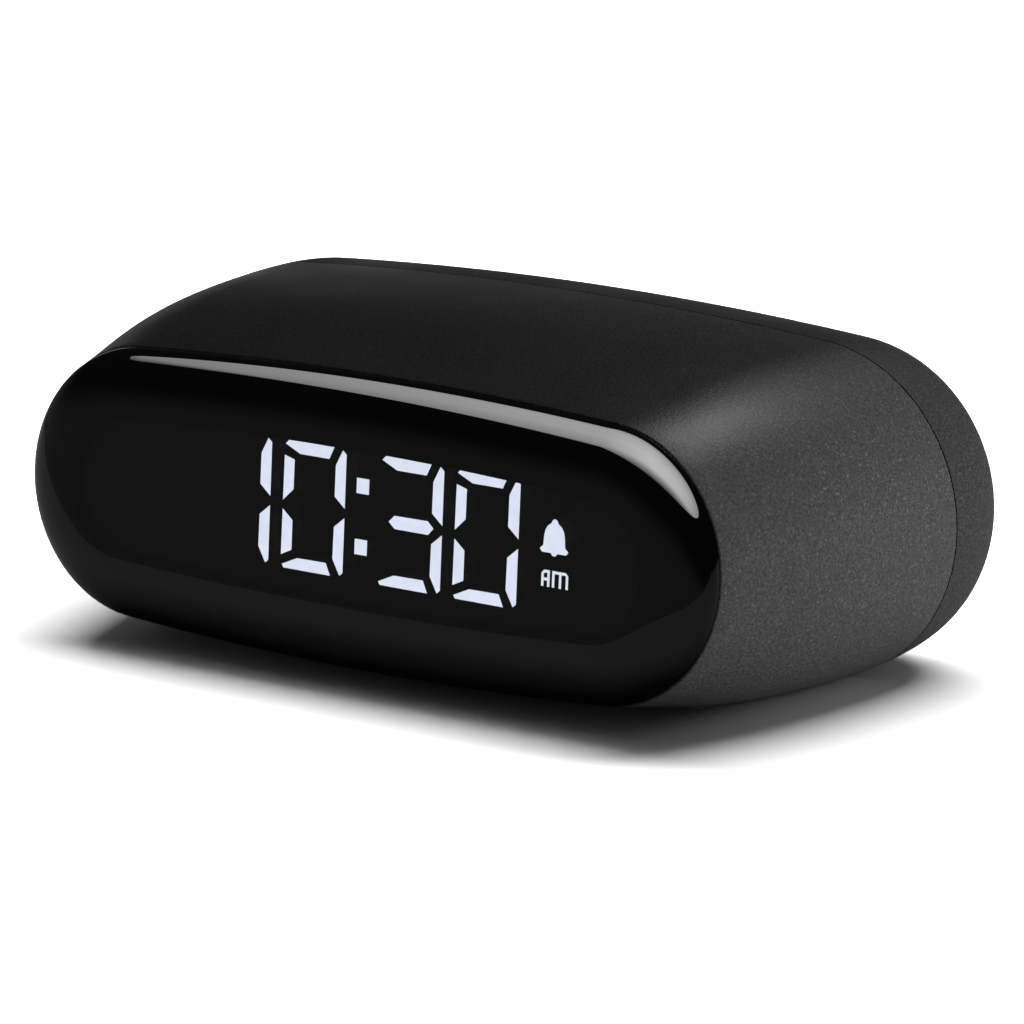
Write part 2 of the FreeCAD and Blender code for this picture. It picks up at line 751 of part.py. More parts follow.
KEY_FLANGE_BACK = INNER_REAR - of("skin_gap") - of("key_flange")
SWITCH_TOP = KEY_FLANGE_BACK - of("key_travel") - 0.3
PLUNGER_TIP = SWITCH_TOP - 0.7
for name, x in key_x.items():
    key = new_body(f"{name}_key_body")
    profile = sketch_on(key, f"{name}_key_profile", "XY_Plane")
    radius = of("key_radius")
    outer_end = REAR + of("key_proud")
    draw_polygon(
        profile,
        [
            (x, KEY_FLANGE_BACK),
            (x + radius + of("key_flange_reach"), KEY_FLANGE_BACK),
            (x + radius + of("key_flange_reach"), KEY_FLANGE_BACK + of("key_flange")),
            (x + radius, KEY_FLANGE_BACK + of("key_flange")),
            (x + radius, outer_end - 0.4),
            (x + radius - 0.4, outer_end),
            (x + radius * 0.6, outer_end),
            (x, outer_end - 0.25),
        ],
    )
    turned = key.newObject("PartDesign::Revolution", f"{name}_key_turned")
    turned.Profile = profile
    axis = profile.addGeometry(
        Part.LineSegment(
            Vector(x.value, KEY_FLANGE_BACK.value - 3, 0), Vector(x.value, outer_end.value + 3, 0)
        ),
        True,
    )
    dimension(profile, "DistanceX", x, -1, 1, axis, 1)
    dimension(profile, "DistanceX", x, -1, 1, axis, 2)
    dimension(profile, "DistanceY", KEY_FLANGE_BACK - 3, -1, 1, axis, 1)
    dimension(profile, "DistanceY", outer_end + 3, -1, 1, axis, 2)
    turned.ReferenceAxis = (profile, ["Axis0"])
    turned.Angle = 360
    node(f"{name}_button_cap", key)
    node(
        f"{name}_button_plunger",
        rod(f"{name}_plunger", of("plunger_radius"), (x, PLUNGER_TIP, AXIS_Z),
            KEY_FLANGE_BACK - PLUNGER_TIP),
    )
    bind(key, "Placement.Base.z", AXIS_Z)

switches = []
for name, x in key_x.items():
    case = block(
        f"{name}_switch_case", x - 3, x + 3, MAIN_REAR, SWITCH_TOP, AXIS_Z - 3, AXIS_Z + 3
    )
    bore = rod(
        f"{name}_switch_bore",
        of("plunger_radius") + of("fit"),
        (x, PLUNGER_TIP - of("key_travel") - 0.2, AXIS_Z),
        4,
    )
    switches.append(cut(f"{name}_switch", case, bore))
node("switch_bodies", fuse("switches", *switches))

# ---- alarm slider ----------------------------------------------------------------------------

knob = new_body("slider_body")
SLIDER_BACK = INNER_REAR - of("skin_gap") - of("slider_plate")
SLIDER_END = REAR + of("slider_proud")
plate_sketch = sketch_on(knob, "slider_plate_sketch", offset=-(SLIDER_BACK + of("slider_plate")))
slider_x = of("slider_x")
draw_rectangle(plate_sketch, slider_x - 6.4, slider_x + 4.4, -3.2, 3.2)
pad(knob, "slider_plate", plate_sketch, of("slider_plate"))
knob_sketch = sketch_on(knob, "slider_knob_sketch", offset=-SLIDER_END)
draw_rectangle(knob_sketch, slider_x - KNOB[0], slider_x + KNOB[0], -KNOB[1], KNOB[1])
pad(knob, "slider_knob", knob_sketch, SLIDER_END - SLIDER_BACK)
groove_sketch = sketch_on(knob, "slider_groove_sketch", offset=-SLIDER_END)
first_groove = slider_x - of("grip_pitch") * 2
draw_rectangle(groove_sketch, first_groove - 0.2, first_groove + 0.2, -1.7, 1.7)
groove = pocket(knob, "slider_groove", groove_sketch, as_size(0.35))
groove.Reversed = False
grooves = knob.newObject("PartDesign::LinearPattern", "slider_grooves")
grooves.Originals = [groove]
grooves.Direction = (groove_sketch, ["H_Axis"])
bind(grooves, "Length", of("grip_pitch") * 4)
grooves.Occurrences = 5
knob.Tip = grooves
bind(knob, "Placement.Base.z", AXIS_Z)
node("alarm_slider", knob)
node(
    "slider_lever",
    block("lever", slider_x - 0.8, slider_x + 0.8, SLIDER_BACK - 1.9, SLIDER_BACK, AXIS_Z - 0.7,
          AXIS_Z + 0.7),
)
slide_case = block(
    "slide_case", slider_x - 6, slider_x + 3.4, MAIN_REAR, SLIDER_BACK - 0.9, AXIS_Z - 2,
    AXIS_Z + 2
)
slide_slot = block(
    "slide_slot", slider_x - 1.2 - of("slider_travel"), slider_x + 1.2, SLIDER_BACK - 2.4,
    SLIDER_BACK, AXIS_Z - 0.9, AXIS_Z + 0.9
)
node("slide_switch_body", cut("slide_switch", slide_case, slide_slot))

# ---- main board and what it carries ----------------------------------------------------------

MAIN_FRONT = MAIN_REAR - of("main_board_thickness")
main = new_body("main_board_body")
main_sketch = sketch_on(main, "main_board_outline", offset=-MAIN_REAR)
draw_rectangle(main_sketch, -POST_X - 4, POST_X + 4, -10.5, 10.5)
main_pad = pad(main, "main_board_pad", main_sketch, of("main_board_thickness"))
fillet(main, "main_board_corners", main_pad, 5, lambda box: box.YLength > 0.5)
hole_sketch = sketch_on(main, "main_board_holes", offset=-MAIN_REAR)
for side in (-1, 1):
    for level in (-1, 1):
        draw_circle(hole_sketch, side * POST_X, level * of("post_rise"),
                    of("small_screw_radius") + 0.25)
pocket(main, "main_board_drilling", hole_sketch, of("main_board_thickness"))
bind(main, "Placement.Base.z", AXIS_Z)
node("main_board", main)

for side, across in ((-1, "left"), (1, "right")):
    for level, z in zip(("low", "high"), POST_Z):
        x = side * POST_X
        head = rod(f"head_{across}_{level}", of("small_screw_head"), (x, MAIN_FRONT - 1.3, z), 1.3)
        shank = rod(f"shank_{across}_{level}", of("small_screw_radius"), (x, MAIN_FRONT - 0.5, z),
                    5.5)
        cross = [
            block(f"drive_{across}_{level}_a", x - 1.2, x + 1.2, MAIN_FRONT - 2, MAIN_FRONT - 0.7,
                  z - 0.22, z + 0.22),
            block(f"drive_{across}_{level}_b", x - 0.22, x + 0.22, MAIN_FRONT - 2,
                  MAIN_FRONT - 0.7, z - 1.2, z + 1.2),
        ]
        screw = cut(f"screw_{across}_{level}", fuse(f"screw_{across}_{level}_solid", head, shank),
                    *cross)
        node(f"board_screw_{across}_{level}", screw)
    x = side * SCREW_X
    head_start = SEAM + 6
    head = rod(f"cover_head_{across}", of("screw_head"), (x, head_start, AXIS_Z), 1.9)
    shank = rod(f"cover_shank_{across}", of("screw_radius"), (x, SEAM - 9, AXIS_Z), 15.5)
    cross = [
        block(f"cover_drive_{across}_a", x - 1.5, x + 1.5, head_start + 0.9, head_start + 3,
              AXIS_Z - 0.3, AXIS_Z + 0.3),
        block(f"cover_drive_{across}_b", x - 0.3, x + 0.3, head_start + 0.9, head_start + 3,
              AXIS_Z - 1.5, AXIS_Z + 1.5),
    ]
    node(f"cover_screw_{across}",
         cut(f"cover_screw_{across}_cut", fuse(f"cover_screw_{across}_solid", head, shank), *cross))

buzzer_case = rod("buzzer_case", 4.3, (SOUND_X, MAIN_REAR, AXIS_Z), 4.2)
buzzer_mouth = rod("buzzer_mouth", 1.0, (SOUND_X, MAIN_REAR + 2.6, AXIS_Z), 4)
node("buzzer", cut("buzzer_cut", buzzer_case, buzzer_mouth))

chip = [block("chip_case", -8, 2, MAIN_FRONT - 1.5, MAIN_FRONT - 0.1, AXIS_Z + 0.2, AXIS_Z + 9.2)]
for k in range(8):
    across = -7.1 + 1.17 * k
    chip.append(
        block(f"chip_leg_{k}", across, across + 0.4, MAIN_FRONT - 0.5, MAIN_FRONT, AXIS_Z - 0.7,
              AXIS_Z + 10.1)
    )
node("microcontroller", fuse("chip", *chip))
node("timing_crystal", rod("crystal", 1.5, (8, MAIN_FRONT - 1.5, AXIS_Z + 2), 8, "x"))
node("smoothing_capacitors", fuse(
    "capacitors",
    rod("capacitor_left", 2.5, (-26, MAIN_FRONT - 5.4, AXIS_Z + 3), 5.4),
    rod("capacitor_right", 2.5, (-19, MAIN_FRONT - 5.4, AXIS_Z + 3), 5.4),
))

BRIDGE_Z = (AXIS_Z + 5.2, AXIS_Z + 6.4)
bridge_front = FRONT + 6.2
node("bridge_board",
     block("bridge", -9, 9, bridge_front, MAIN_FRONT - 2.2, *BRIDGE_Z))

# ---- touch sensor under the top --------------------------------------------------------------

# The foil is a slice of the roof's own curve, glued under it.
foil_under = envelope("foil_under", of("wall") + of("foil_thickness"))
foil_zone = block("foil_zone", -16, 16, -8, 8, AXIS_Z + 8, FAR)
node("touch_plate", common("touch_foil", cut("foil_slice", hollow, foil_under), foil_zone))


def leaf_spring(name, height, reach, web):
    """A flat strip bent to a Z: a foot, a slanting web and a head, rising along its own +Z."""
    body = new_body(f"{name}_body")
    strip_width = 3.0
    sketch = sketch_on(body, f"{name}_profile", offset=-strip_width / 2)
    thick = of("leaf_thickness")
    slope = as_size(2 * reach) / (height - thick)
    draw_polygon(sketch, [
        (as_size(-reach - 0.6), as_size(0)),
        (as_size(reach), as_size(0)),
        (as_size(-reach), height - thick),
        (as_size(reach * 0.6), height - thick),
        (as_size(reach * 0.6), height),
        (reach - web - slope * height, height),
        (reach - web - slope * thick, thick),
        (as_size(-reach - 0.6), thick),
    ])
    pad(body, f"{name}_strip", sketch, as_size(strip_width))
    return node(name, body)


roof = AXIS_Z + of("front_height") * height_factor(-FRONT / of("depth")) / 2 - of("wall")
leaf_low = BRIDGE_Z[1] + 0.02
touch_leaf = leaf_spring("touch_spring", roof - of("foil_thickness") - 0.15 - leaf_low, 2.2, 0.34)
bind(touch_leaf, "Placement.Base.z", leaf_low)

# ---- cells, contacts and door ----------------------------------------------------------------

CELL_Y = {
    "front": BAY_FRONT + of("cell_gap") + of("cell_radius"),
    "rear": BAY_REAR - of("cell_gap") - of("cell_radius"),
}
HALF_CELL = of("cell_length") / 2
for place, y in CELL_Y.items():
    facing = -1 if place == "front" else 1
    jacket_length = of("cell_length") - 1.0
    jacket_start = -HALF_CELL if facing == 1 else -HALF_CELL + 1.0
    nub_start = HALF_CELL - 1.2 if facing == 1 else -HALF_CELL
    jacket = rod(f"jacket_{place}", of("cell_radius"), (jacket_start, y, CELL_Z), jacket_length,
                 "x")
    nub = rod(f"nub_{place}", 1.9, (nub_start, y, CELL_Z), 1.2, "x")
    node(f"cell_{place}", fuse(f"cell_{place}_solid", jacket, nub))
    plate_x = facing * (HALF_CELL + 0.25)
    low_x, high_x = (plate_x - 0.2, plate_x + 0.2)
    node(f"contact_{place}",
         block(f"contact_{place}_plate", low_x, high_x, y - 3.5, y + 3.5, CELL_Z - 3.5,
               CELL_Z + 3.5))
    spring = leaf_spring(f"cell_spring_{place}", BAY_X - HALF_CELL - 0.1, 2.4, 0.7)
    spring.Placement = Placement(Vector(), Rotation(Vector(0, 1, 0), -90 * facing))
    bind(spring, "Placement.Base.x", -facing * (HALF_CELL + 0.05))
    bind(spring, "Placement.Base.y", y)
    bind(spring, "Placement.Base.z", CELL_Z)

door_front = BAY_FRONT + of("door_gap")
door_side = BAY_X - of("door_gap")
door_low = of("door_under")
door_high = door_low + of("door_thickness")
door_plate = block("door_plate", -door_side, door_side, door_front, HINGE_Y, door_low, door_high)
door_barrel = rod(
    "door_barrel", of("hinge_radius"), (-door_side, HINGE_Y, HINGE_Z), door_side * 2, "x"
)
door_pins = rod(
    "door_pins",
    PIN_RADIUS,
    (-PIN_REACH, HINGE_Y, HINGE_Z),
    PIN_REACH * 2,
    "x",
)
latch_arm = block("latch_arm", -3, 3, door_front, door_front + 0.9, door_high - 0.2, 3.6)
latch_bead = rod("latch_bead", 0.4, (-3, door_front + 0.2, 3.1), 6, "x")
grip = [
    block(f"grip_{k}", -8, 8, door_front + 2 + 1.6 * k, door_front + 2.8 + 1.6 * k, 0, door_low + 0.4)
    for k in range(3)
]
node("battery_door",
     cut("door_cut", fuse("door_solid", door_plate, door_barrel, door_pins, latch_arm, latch_bead),
         *grip))

# ---- checks and export -----------------------------------------------------------------------

doc.recompute()
for thing in doc.Objects:
    if "Invalid" in thing.State or "Error" in thing.State:
        raise RuntimeError(f"{thing.Name} did not build: {thing.State}")
os.makedirs("parts", exist_ok=True)
for label, thing in nodes.items():
    shape = thing.Shape
    if shape.isNull() or not shape.isValid():
        raise RuntimeError(f"{label} has no valid shape")
    shape.exportStep(f"parts/{label}.step")
    print(f"{label}: {len(shape.Solids)} solid(s), {shape.Volume:.1f} mm3")
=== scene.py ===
# %% [markdown]
# # A pebble-shaped bedside alarm clock
# The clock is a smooth anthracite pebble with a glossy smoked window at the front, behind which
# white segments glow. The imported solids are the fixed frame: every piece made here sits on them
# and rides with one of their bodies. Lengths are in metres; MM turns millimetres into them.

import math

import bmesh
import bpy
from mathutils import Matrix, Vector


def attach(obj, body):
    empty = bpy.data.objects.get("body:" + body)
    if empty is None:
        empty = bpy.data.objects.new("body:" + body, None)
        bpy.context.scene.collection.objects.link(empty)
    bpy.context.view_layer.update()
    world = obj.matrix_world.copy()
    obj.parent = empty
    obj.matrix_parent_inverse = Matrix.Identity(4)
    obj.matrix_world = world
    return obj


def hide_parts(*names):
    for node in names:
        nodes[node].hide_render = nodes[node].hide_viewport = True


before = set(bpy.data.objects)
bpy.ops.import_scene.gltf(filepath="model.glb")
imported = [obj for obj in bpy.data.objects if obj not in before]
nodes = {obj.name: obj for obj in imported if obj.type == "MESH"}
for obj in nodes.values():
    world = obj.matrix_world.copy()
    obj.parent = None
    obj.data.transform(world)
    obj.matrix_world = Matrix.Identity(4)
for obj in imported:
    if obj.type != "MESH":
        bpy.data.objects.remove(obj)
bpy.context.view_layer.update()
MM = 0.001


def in_mm(box):
    return [round(value / MM, 2) for corner in box for value in corner]


def place(name, data):
    """A new object at the origin, with this data."""
    placed = bpy.data.objects.new(name, data)
    bpy.context.scene.collection.objects.link(placed)
    return placed


# %% [markdown]
# ## The camera
# The clock is seen from its right and a little from above. A long lens from 0.8 m keeps the
# gentle perspective of a product shot: the far side is only slightly smaller than the near one.

# %% Camera
CAMERA_AT = Vector((0.4683, -0.6263, 0.2013))
CAMERA_BACK = Vector((0.58099, -0.77998, 0.23256))
LENS_LENGTH = 269.8
SENSOR_WIDTH = 36.0

shot = bpy.data.cameras.new("shot")
shot.lens = LENS_LENGTH
shot.sensor_width = SENSOR_WIDTH
shot.sensor_fit = "HORIZONTAL"
camera = place("shot", shot)
camera.location = CAMERA_AT
camera.rotation_euler = CAMERA_BACK.to_track_quat("Z", "Y").to_euler()
bpy.context.scene.camera = camera
bpy.context.scene.view_settings.view_transform = "Standard"
print("camera", [round(v, 3) for v in camera.location])

# %% [markdown]
# ## Two helpers for node trees
# Finishes, lamps and grown shapes are all node trees. One helper adds a node and feeds its
# sockets, each with a plain value or the output of another node. The other adds a sum.

# %% Helpers for node trees


def add(tree, kind, feeds=None, **options):
    """Add a node, set its options, and feed its sockets with values or with other sockets."""
    added = tree.nodes.new(kind)
    for option, value in options.items():
        setattr(added, option, value)
    for socket, value in (feeds or {}).items():
        if isinstance(value, bpy.types.NodeSocket):
            tree.links.new(value, added.inputs[socket])
        else:
            added.inputs[socket].default_value = value
    return added


def calc(tree, operation, first, second=0.0):
    return add(tree, "ShaderNodeMath", {0: first, 1: second}, operation=operation).outputs[0]


# %% [markdown]
# ## The sheet the clock stands on
# A small product is best shown on a sheet of white paper in a dark room. The sheet ends just in
# front of the clock, so its polished black window reflects the dark room and not the paper. To
# the eye the paper is brighter than it is for the light it throws back: it burns out to white
# and keeps only the dense shadow close to the clock.

# %% Sheet
SHEET_SIDE = 1.5
SHEET_FRONT = -0.075
PAPER = 0.45
PAPER_SEEN = 2.6
PAPER_MIRRORED = 0.35


def seen_or_mirrored(tree):
    """Two switches: the ray comes from the eye, or from polished metal, plastic or glass."""
    path = add(tree, "ShaderNodeLightPath").outputs
    mirrored = calc(tree, "MAXIMUM", path["Is Glossy Ray"], path["Is Transmission Ray"])
    return path["Is Camera Ray"], mirrored


def switched(tree, level, *cases):
    """A brightness that changes where a switch is on; the last switch wins."""
    for switch, brightness in cases:
        feeds = {"Factor": switch, "A": level, "B": brightness}
        level = add(tree, "ShaderNodeMix", feeds, data_type="FLOAT").outputs["Result"]
    return level


def paper_finish():
    paper = bpy.data.materials.new("white_paper")
    paper.use_nodes = True
    tree = paper.node_tree
    tree.nodes.clear()
    seen, mirrored = seen_or_mirrored(tree)
    level = switched(tree, PAPER, (mirrored, PAPER_MIRRORED), (seen, PAPER_SEEN))
    matt = add(tree, "ShaderNodeBsdfDiffuse", {"Color": level})
    add(tree, "ShaderNodeOutputMaterial", {"Surface": matt.outputs[0]})
    return paper


near, far = SHEET_FRONT, SHEET_SIDE
mesh = bpy.data.meshes.new("sheet")
corners = [(-far, near, 0), (far, near, 0), (far, far, 0), (-far, far, 0)]
mesh.from_pydata(corners, [], [(0, 1, 2, 3)])
mesh.materials.append(paper_finish())
sheet = place("sheet", mesh)
print("sheet from y", SHEET_FRONT, "to", SHEET_SIDE)

# %% [markdown]
# ## The room
# The room is dark, so the polished window stays black. A white backdrop stands behind the clock
# and on its right. The eye sees white wherever it looks past the sheet, matt surfaces get a weak
# even fill, and polished ones mirror the room by its parts: backdrop, dim air, dark floor.

# %% Room
FILL = 0.026
DIM_AIR = 0.01
DARK_FLOOR = 0.12
BACKDROP_EDGE = (0.92, 0.97)
FLOOR_EDGE = (0.30, -0.05)
RISE_TO_RIGHT = 0.35


def ramp_of(tree, source, start, end, low=0.0, high=1.0):
    """A smooth change from low to high while the source goes from start to end."""
    return add(tree, "ShaderNodeMapRange", {
        "Value": source, "From Min": start, "From Max": end, "To Min": low, "To Max": high,
    }, interpolation_type="SMOOTHSTEP").outputs["Result"]


world = bpy.data.worlds.new("room")
world.use_nodes = True
bpy.context.scene.world = world
tree = world.node_tree
tree.nodes.clear()
seen, mirrored = seen_or_mirrored(tree)
way = add(tree, "ShaderNodeTexCoord").outputs["Generated"]
right, _, up = add(tree, "ShaderNodeSeparateXYZ", {0: way}).outputs
# The backdrop stands where the eye looks past the clock.
facing = add(tree, "ShaderNodeVectorMath", {0: way, 1: -CAMERA_BACK}, operation="DOT_PRODUCT")
backdrop = ramp_of(tree, facing.outputs["Value"], *BACKDROP_EDGE)
# The dark floor fades into dim air, sooner in front of the clock than on its right.
tilt = calc(tree, "ADD", up, ramp_of(tree, right, 0.0, 1.0, 0.0, RISE_TO_RIGHT))
ground = ramp_of(tree, tilt, *FLOOR_EDGE, DIM_AIR, DARK_FLOOR)
studio = calc(tree, "MAXIMUM", backdrop, ground)
level = switched(tree, FILL, (mirrored, studio), (seen, 1.0))
shine = add(tree, "ShaderNodeBackground", {"Color": (1, 1, 1, 1), "Strength": level})
add(tree, "ShaderNodeOutputWorld", {"Surface": shine.outputs[0]})
print("room: fill", FILL)

# %% [markdown]
# ## Lamps
# Five soft lamps. The back panel, high behind the clock, lights the paper alone and lays the
# shadow in front of the clock. The small top panel lights the housing from above and behind and
# draws the sheen on its shoulder. The two low panels, one on each side, light the flanks. They
# give no mirror light, because lamps that low would lie as white streaks on the lacquer. The
# ceiling softbox is for the polished window alone: its reflection is the bright band along the
# rolled edge. Light linking, further down, says which lamp lights what.

# %% Lamps
CLOCK_MIDDLE = (0.0, 0.0, 0.017)
PANELS = {  # place, size and radiance
    "back_panel": ((-0.06, 0.18, 0.60), (0.85, 0.24), 4.5),
    "top_panel": ((0.05, 0.28, 0.60), (0.28, 0.10), 17.0),
    "side_panel": ((0.63, 0.29, 0.04), (0.9, 0.07), 97.0),
    "left_panel": ((-0.66, 0.10, 0.04), (0.8, 0.07), 42.0),
}
CEILING_AT = (0.12, -0.28, 0.617)
CEILING_SIZE = (1.48, 1.20)
CEILING_RADIANCE = 7.4


def make_panel(name, at, towards, size, radiance):
    """A soft rectangular lamp that faces a point."""
    lamp = bpy.data.lights.new(name, "AREA")
    lamp.shape = "RECTANGLE"
    lamp.size, lamp.size_y = size
    lamp.energy = 4.0 * size[0] * size[1] * radiance
    panel = place(name, lamp)
    panel.location = at
    away = Vector(at) - Vector(towards)
    panel.rotation_euler = away.to_track_quat("Z", "Y").to_euler()
    panel.visible_camera = False
    return panel


lamps = {name: make_panel(name, at, CLOCK_MIDDLE, size, radiance)
         for name, (at, size, radiance) in PANELS.items()}
for name in ("side_panel", "left_panel"):
    lamps[name].visible_glossy = False
under_ceiling = (*CEILING_AT[:2], 0.0)
ceiling = make_panel("ceiling_softbox", CEILING_AT, under_ceiling, CEILING_SIZE, CEILING_RADIANCE)
ceiling.data.shape = "ELLIPSE"

# %% [markdown]
# A real softbox is brightest in the middle and fades towards its edges. Two ramps across the
# lamp's own face do the same, one from right to left and one from front to back.

# %% Fading edges of the softbox
ACROSS = ((0.0, 0.45), (0.20, 0.80), (0.34, 0.95), (0.55, 1.0), (0.79, 0.68), (0.88, 0.48),
          (0.97, 0.32), (1.0, 0.07))
ALONG = ((0.0, 0.0), (0.04, 0.40), (0.25, 0.75), (0.50, 1.0), (0.72, 1.0), (0.86, 0.45),
         (1.0, 0.05))


def colour_ramp(tree, source, stops):
    """Colours that run from stop to stop while the source grows."""
    ramp = add(tree, "ShaderNodeValToRGB", {"Fac": source})
    elements = ramp.color_ramp.elements
    for position, _ in stops[1:-1]:
        elements.new(position)
    for element, (position, tone) in zip(elements, stops):
        element.position = position
        element.color = (*tone, 1.0)
    return ramp.outputs["Color"]


def fade_edges(lamp_data, *ramps):
    lamp_data.use_nodes = True
    tree = lamp_data.node_tree
    face = add(tree, "ShaderNodeNewGeometry").outputs["Parametric"]
    ways = add(tree, "ShaderNodeSeparateXYZ", {0: face}).outputs
    levels = [colour_ramp(tree, way, [(at, (level, level, level)) for at, level in stops])
              for way, stops in zip(ways, ramps)]
    strength = calc(tree, "MULTIPLY", *levels)
    tree.links.new(strength, tree.nodes["Emission"].inputs["Strength"])


fade_edges(ceiling.data, ACROSS, ALONG)
print("softbox stops:", len(ACROSS), "across,", len(ALONG), "along")

# %% [markdown]
# ## Finishes
# Every finish is a small node tree. The pattern is read in the piece's own metres, so a scale of
# 4000 is a grain of a quarter of a millimetre. The helpers below add the two things that make
# moulded plastic and metal look real: a tone that varies a little, and a fine relief.

# %% Helpers for finishes
TONE_STOPS = (0.35, 0.65)
NOISE_SPAN = (0.3, 0.7)
BROAD_NOISE = 60.0


def start_finish(name, tone, roughness, metallic=0.0):
    """A finish with constant values on its shader, ready for a pattern."""
    finish = bpy.data.materials.new(name)
    finish.use_nodes = True
    shader = finish.node_tree.nodes["Principled BSDF"]
    shader.inputs["Base Color"].default_value = (*tone, 1.0)
    shader.inputs["Roughness"].default_value = roughness
    shader.inputs["Metallic"].default_value = metallic
    finish.diffuse_color = (*tone, 1.0)
    return finish, shader


def noise_of(shader, scale, detail=2.0, stretch=(1, 1, 1)):
    """Noise in the piece's own metres."""
    tree = shader.id_data
    spot = add(tree, "ShaderNodeTexCoord").outputs["Object"]
    spot = add(tree, "ShaderNodeMapping", {"Vector": spot, "Scale": stretch}).outputs["Vector"]
    feeds = {"Vector": spot, "Scale": scale, "Detail": detail}
    return add(tree, "ShaderNodeTexNoise", feeds).outputs["Fac"]


def vary(shader, socket, pattern):
    shader.id_data.links.new(pattern, shader.inputs[socket])


def vary_tone(shader, pattern, *stops):
    """The tone runs from stop to stop with the pattern."""
    vary(shader, "Base Color", colour_ramp(shader.id_data, pattern, stops))


def vary_roughness(shader, pattern, low, high):
    vary(shader, "Roughness", ramp_of(shader.id_data, pattern, *NOISE_SPAN, low, high))


def add_relief(shader, pattern, height, strength=1.0):
    feeds = {"Height": pattern, "Distance": height, "Strength": strength}
    vary(shader, "Normal", add(shader.id_data, "ShaderNodeBump", feeds).outputs["Normal"])


def scaled(tone, factor):
    return tuple(min(1.0, channel * factor) for channel in tone)


def grained(name, tone, roughness, grain, height, spread=0.12, metallic=0.0, stretch=(1, 1, 1),
            painted_glints=()):
    """A moulded or milled finish: tone and relief follow one fine noise."""
    finish, shader = start_finish(name, tone, roughness, metallic)
    fine = noise_of(shader, grain, 3.0, stretch)
    tones = (scaled(tone, 1 - spread), scaled(tone, 1 + spread))
    vary_tone(shader, fine, *zip(TONE_STOPS, tones), *painted_glints)
    vary_roughness(shader, noise_of(shader, BROAD_NOISE), roughness * 0.9, roughness * 1.1)
    add_relief(shader, fine, height)
    return finish


# %% [markdown]
# ### The plastics of the housing
# The pebble is moulded in anthracite ABS and has a soft matt lacquer over a fine spark-eroded
# grain. The small glints of that grain are painted into the tone as bright specks, a painted
# highlight. Soft lacquer hardly shines, so its specular level is far below that of bare plastic.
# The keys and the feet are bare.

# %% Housing finishes
ANTHRACITE = (0.0188, 0.0188, 0.0190)
SOFT_LACQUER = 0.16
BARE_PLASTIC = 0.3
LACQUER_GRAIN = 3600.0
FINE_RELIEF = 0.00003
# Painted glints: the highest points of the grain are painted brighter than the tone, as highlights.
PAINTED_GLINT_STOP = 0.70
PAINTED_GLINT_TONE = 2.2


def lacquered(name, tone, roughness, level=BARE_PLASTIC):
    """Matt lacquer with painted glints: bright specks in the tone where its grain stands highest.
    """
    painted_glint = (PAINTED_GLINT_STOP, scaled(tone, PAINTED_GLINT_TONE))
    finish = grained(name, tone, roughness, LACQUER_GRAIN, FINE_RELIEF, 0.30, painted_glints=[painted_glint])
    finish.node_tree.nodes["Principled BSDF"].inputs["Specular IOR Level"].default_value = level
    return finish


anthracite = lacquered("anthracite_shell", ANTHRACITE, 0.42, SOFT_LACQUER)
# The rear cover and the battery door wear the same anthracite painted 0.65 times as dark: painted
# shade for the rear turning away from the light.
shaded_cover_plastic = lacquered("anthracite_cover_painted_shade", scaled(ANTHRACITE, 0.65), 0.55, SOFT_LACQUER)
key_plastic = lacquered("key_plastic", scaled(ANTHRACITE, 0.7), 0.40)
inner_black = grained("inner_black_plastic", (0.015, 0.015, 0.015), 0.6, 3000.0, FINE_RELIEF, 0.3)
reflector_white = grained("reflector_white", (0.82, 0.83, 0.82), 0.45, 4000.0, 0.00001, 0.03)
foot_rubber = lacquered("foot_rubber", (0.022, 0.022, 0.023), 0.85)
mask_print = lacquered("mask_print", (0.004, 0.004, 0.004), 0.55)
print("housing tone", ANTHRACITE)

# %% [markdown]
# ### The window and its light
# The window is smoked acrylic: clear in depth, dark in tone, and polished. Its rim and skirt are
# printed black on the back, so nothing of the housing shows through them. The segments are a
# milky diffuser that glows by itself; it has to be brighter than white to look white through the
# smoked window.

# %% Window and light finishes
SMOKE = (0.22, 0.22, 0.225)
PRINTED_BLACK = (0.0004, 0.0004, 0.0004)
POLISH = 0.012
ACRYLIC_IOR = 1.49
GLOW = 4.2


def polished(name, tone, transmission):
    finish, shader = start_finish(name, tone, POLISH)
    shader.inputs["IOR"].default_value = ACRYLIC_IOR
    shader.inputs["Transmission Weight"].default_value = transmission
    vary_roughness(shader, noise_of(shader, 240.0, 4.0), POLISH * 0.7, POLISH * 1.6)
    add_relief(shader, noise_of(shader, 18.0, 1.0), 0.00001, 0.2)
    return finish


def glowing(name, tone, strength):
    """A diffuser lit from behind, a touch uneven as milky plastic is."""
    finish, shader = start_finish(name, scaled(tone, 0.9), 0.5)
    shader.inputs["Emission Color"].default_value = (*tone, 1.0)
    cloud = noise_of(shader, 900.0)
    spread = ramp_of(shader.id_data, cloud, *NOISE_SPAN, strength * 0.96, strength * 1.04)
    vary(shader, "Emission Strength", spread)
    return finish


smoked_window = polished("smoked_window", SMOKE, 1.0)
gloss_rim = polished("gloss_black_rim", PRINTED_BLACK, 0.0)
lit_white = glowing("lit_white", (0.80, 0.86, 1.0), GLOW)
print("window tone", SMOKE, "glow", GLOW)

# %% [markdown]
# ### Metals, boards and cells
# Nickel-plated spring steel, zinc-plated screws, a green board with a cloudy solder mask, matt
# component cases and the jackets of two small cells.

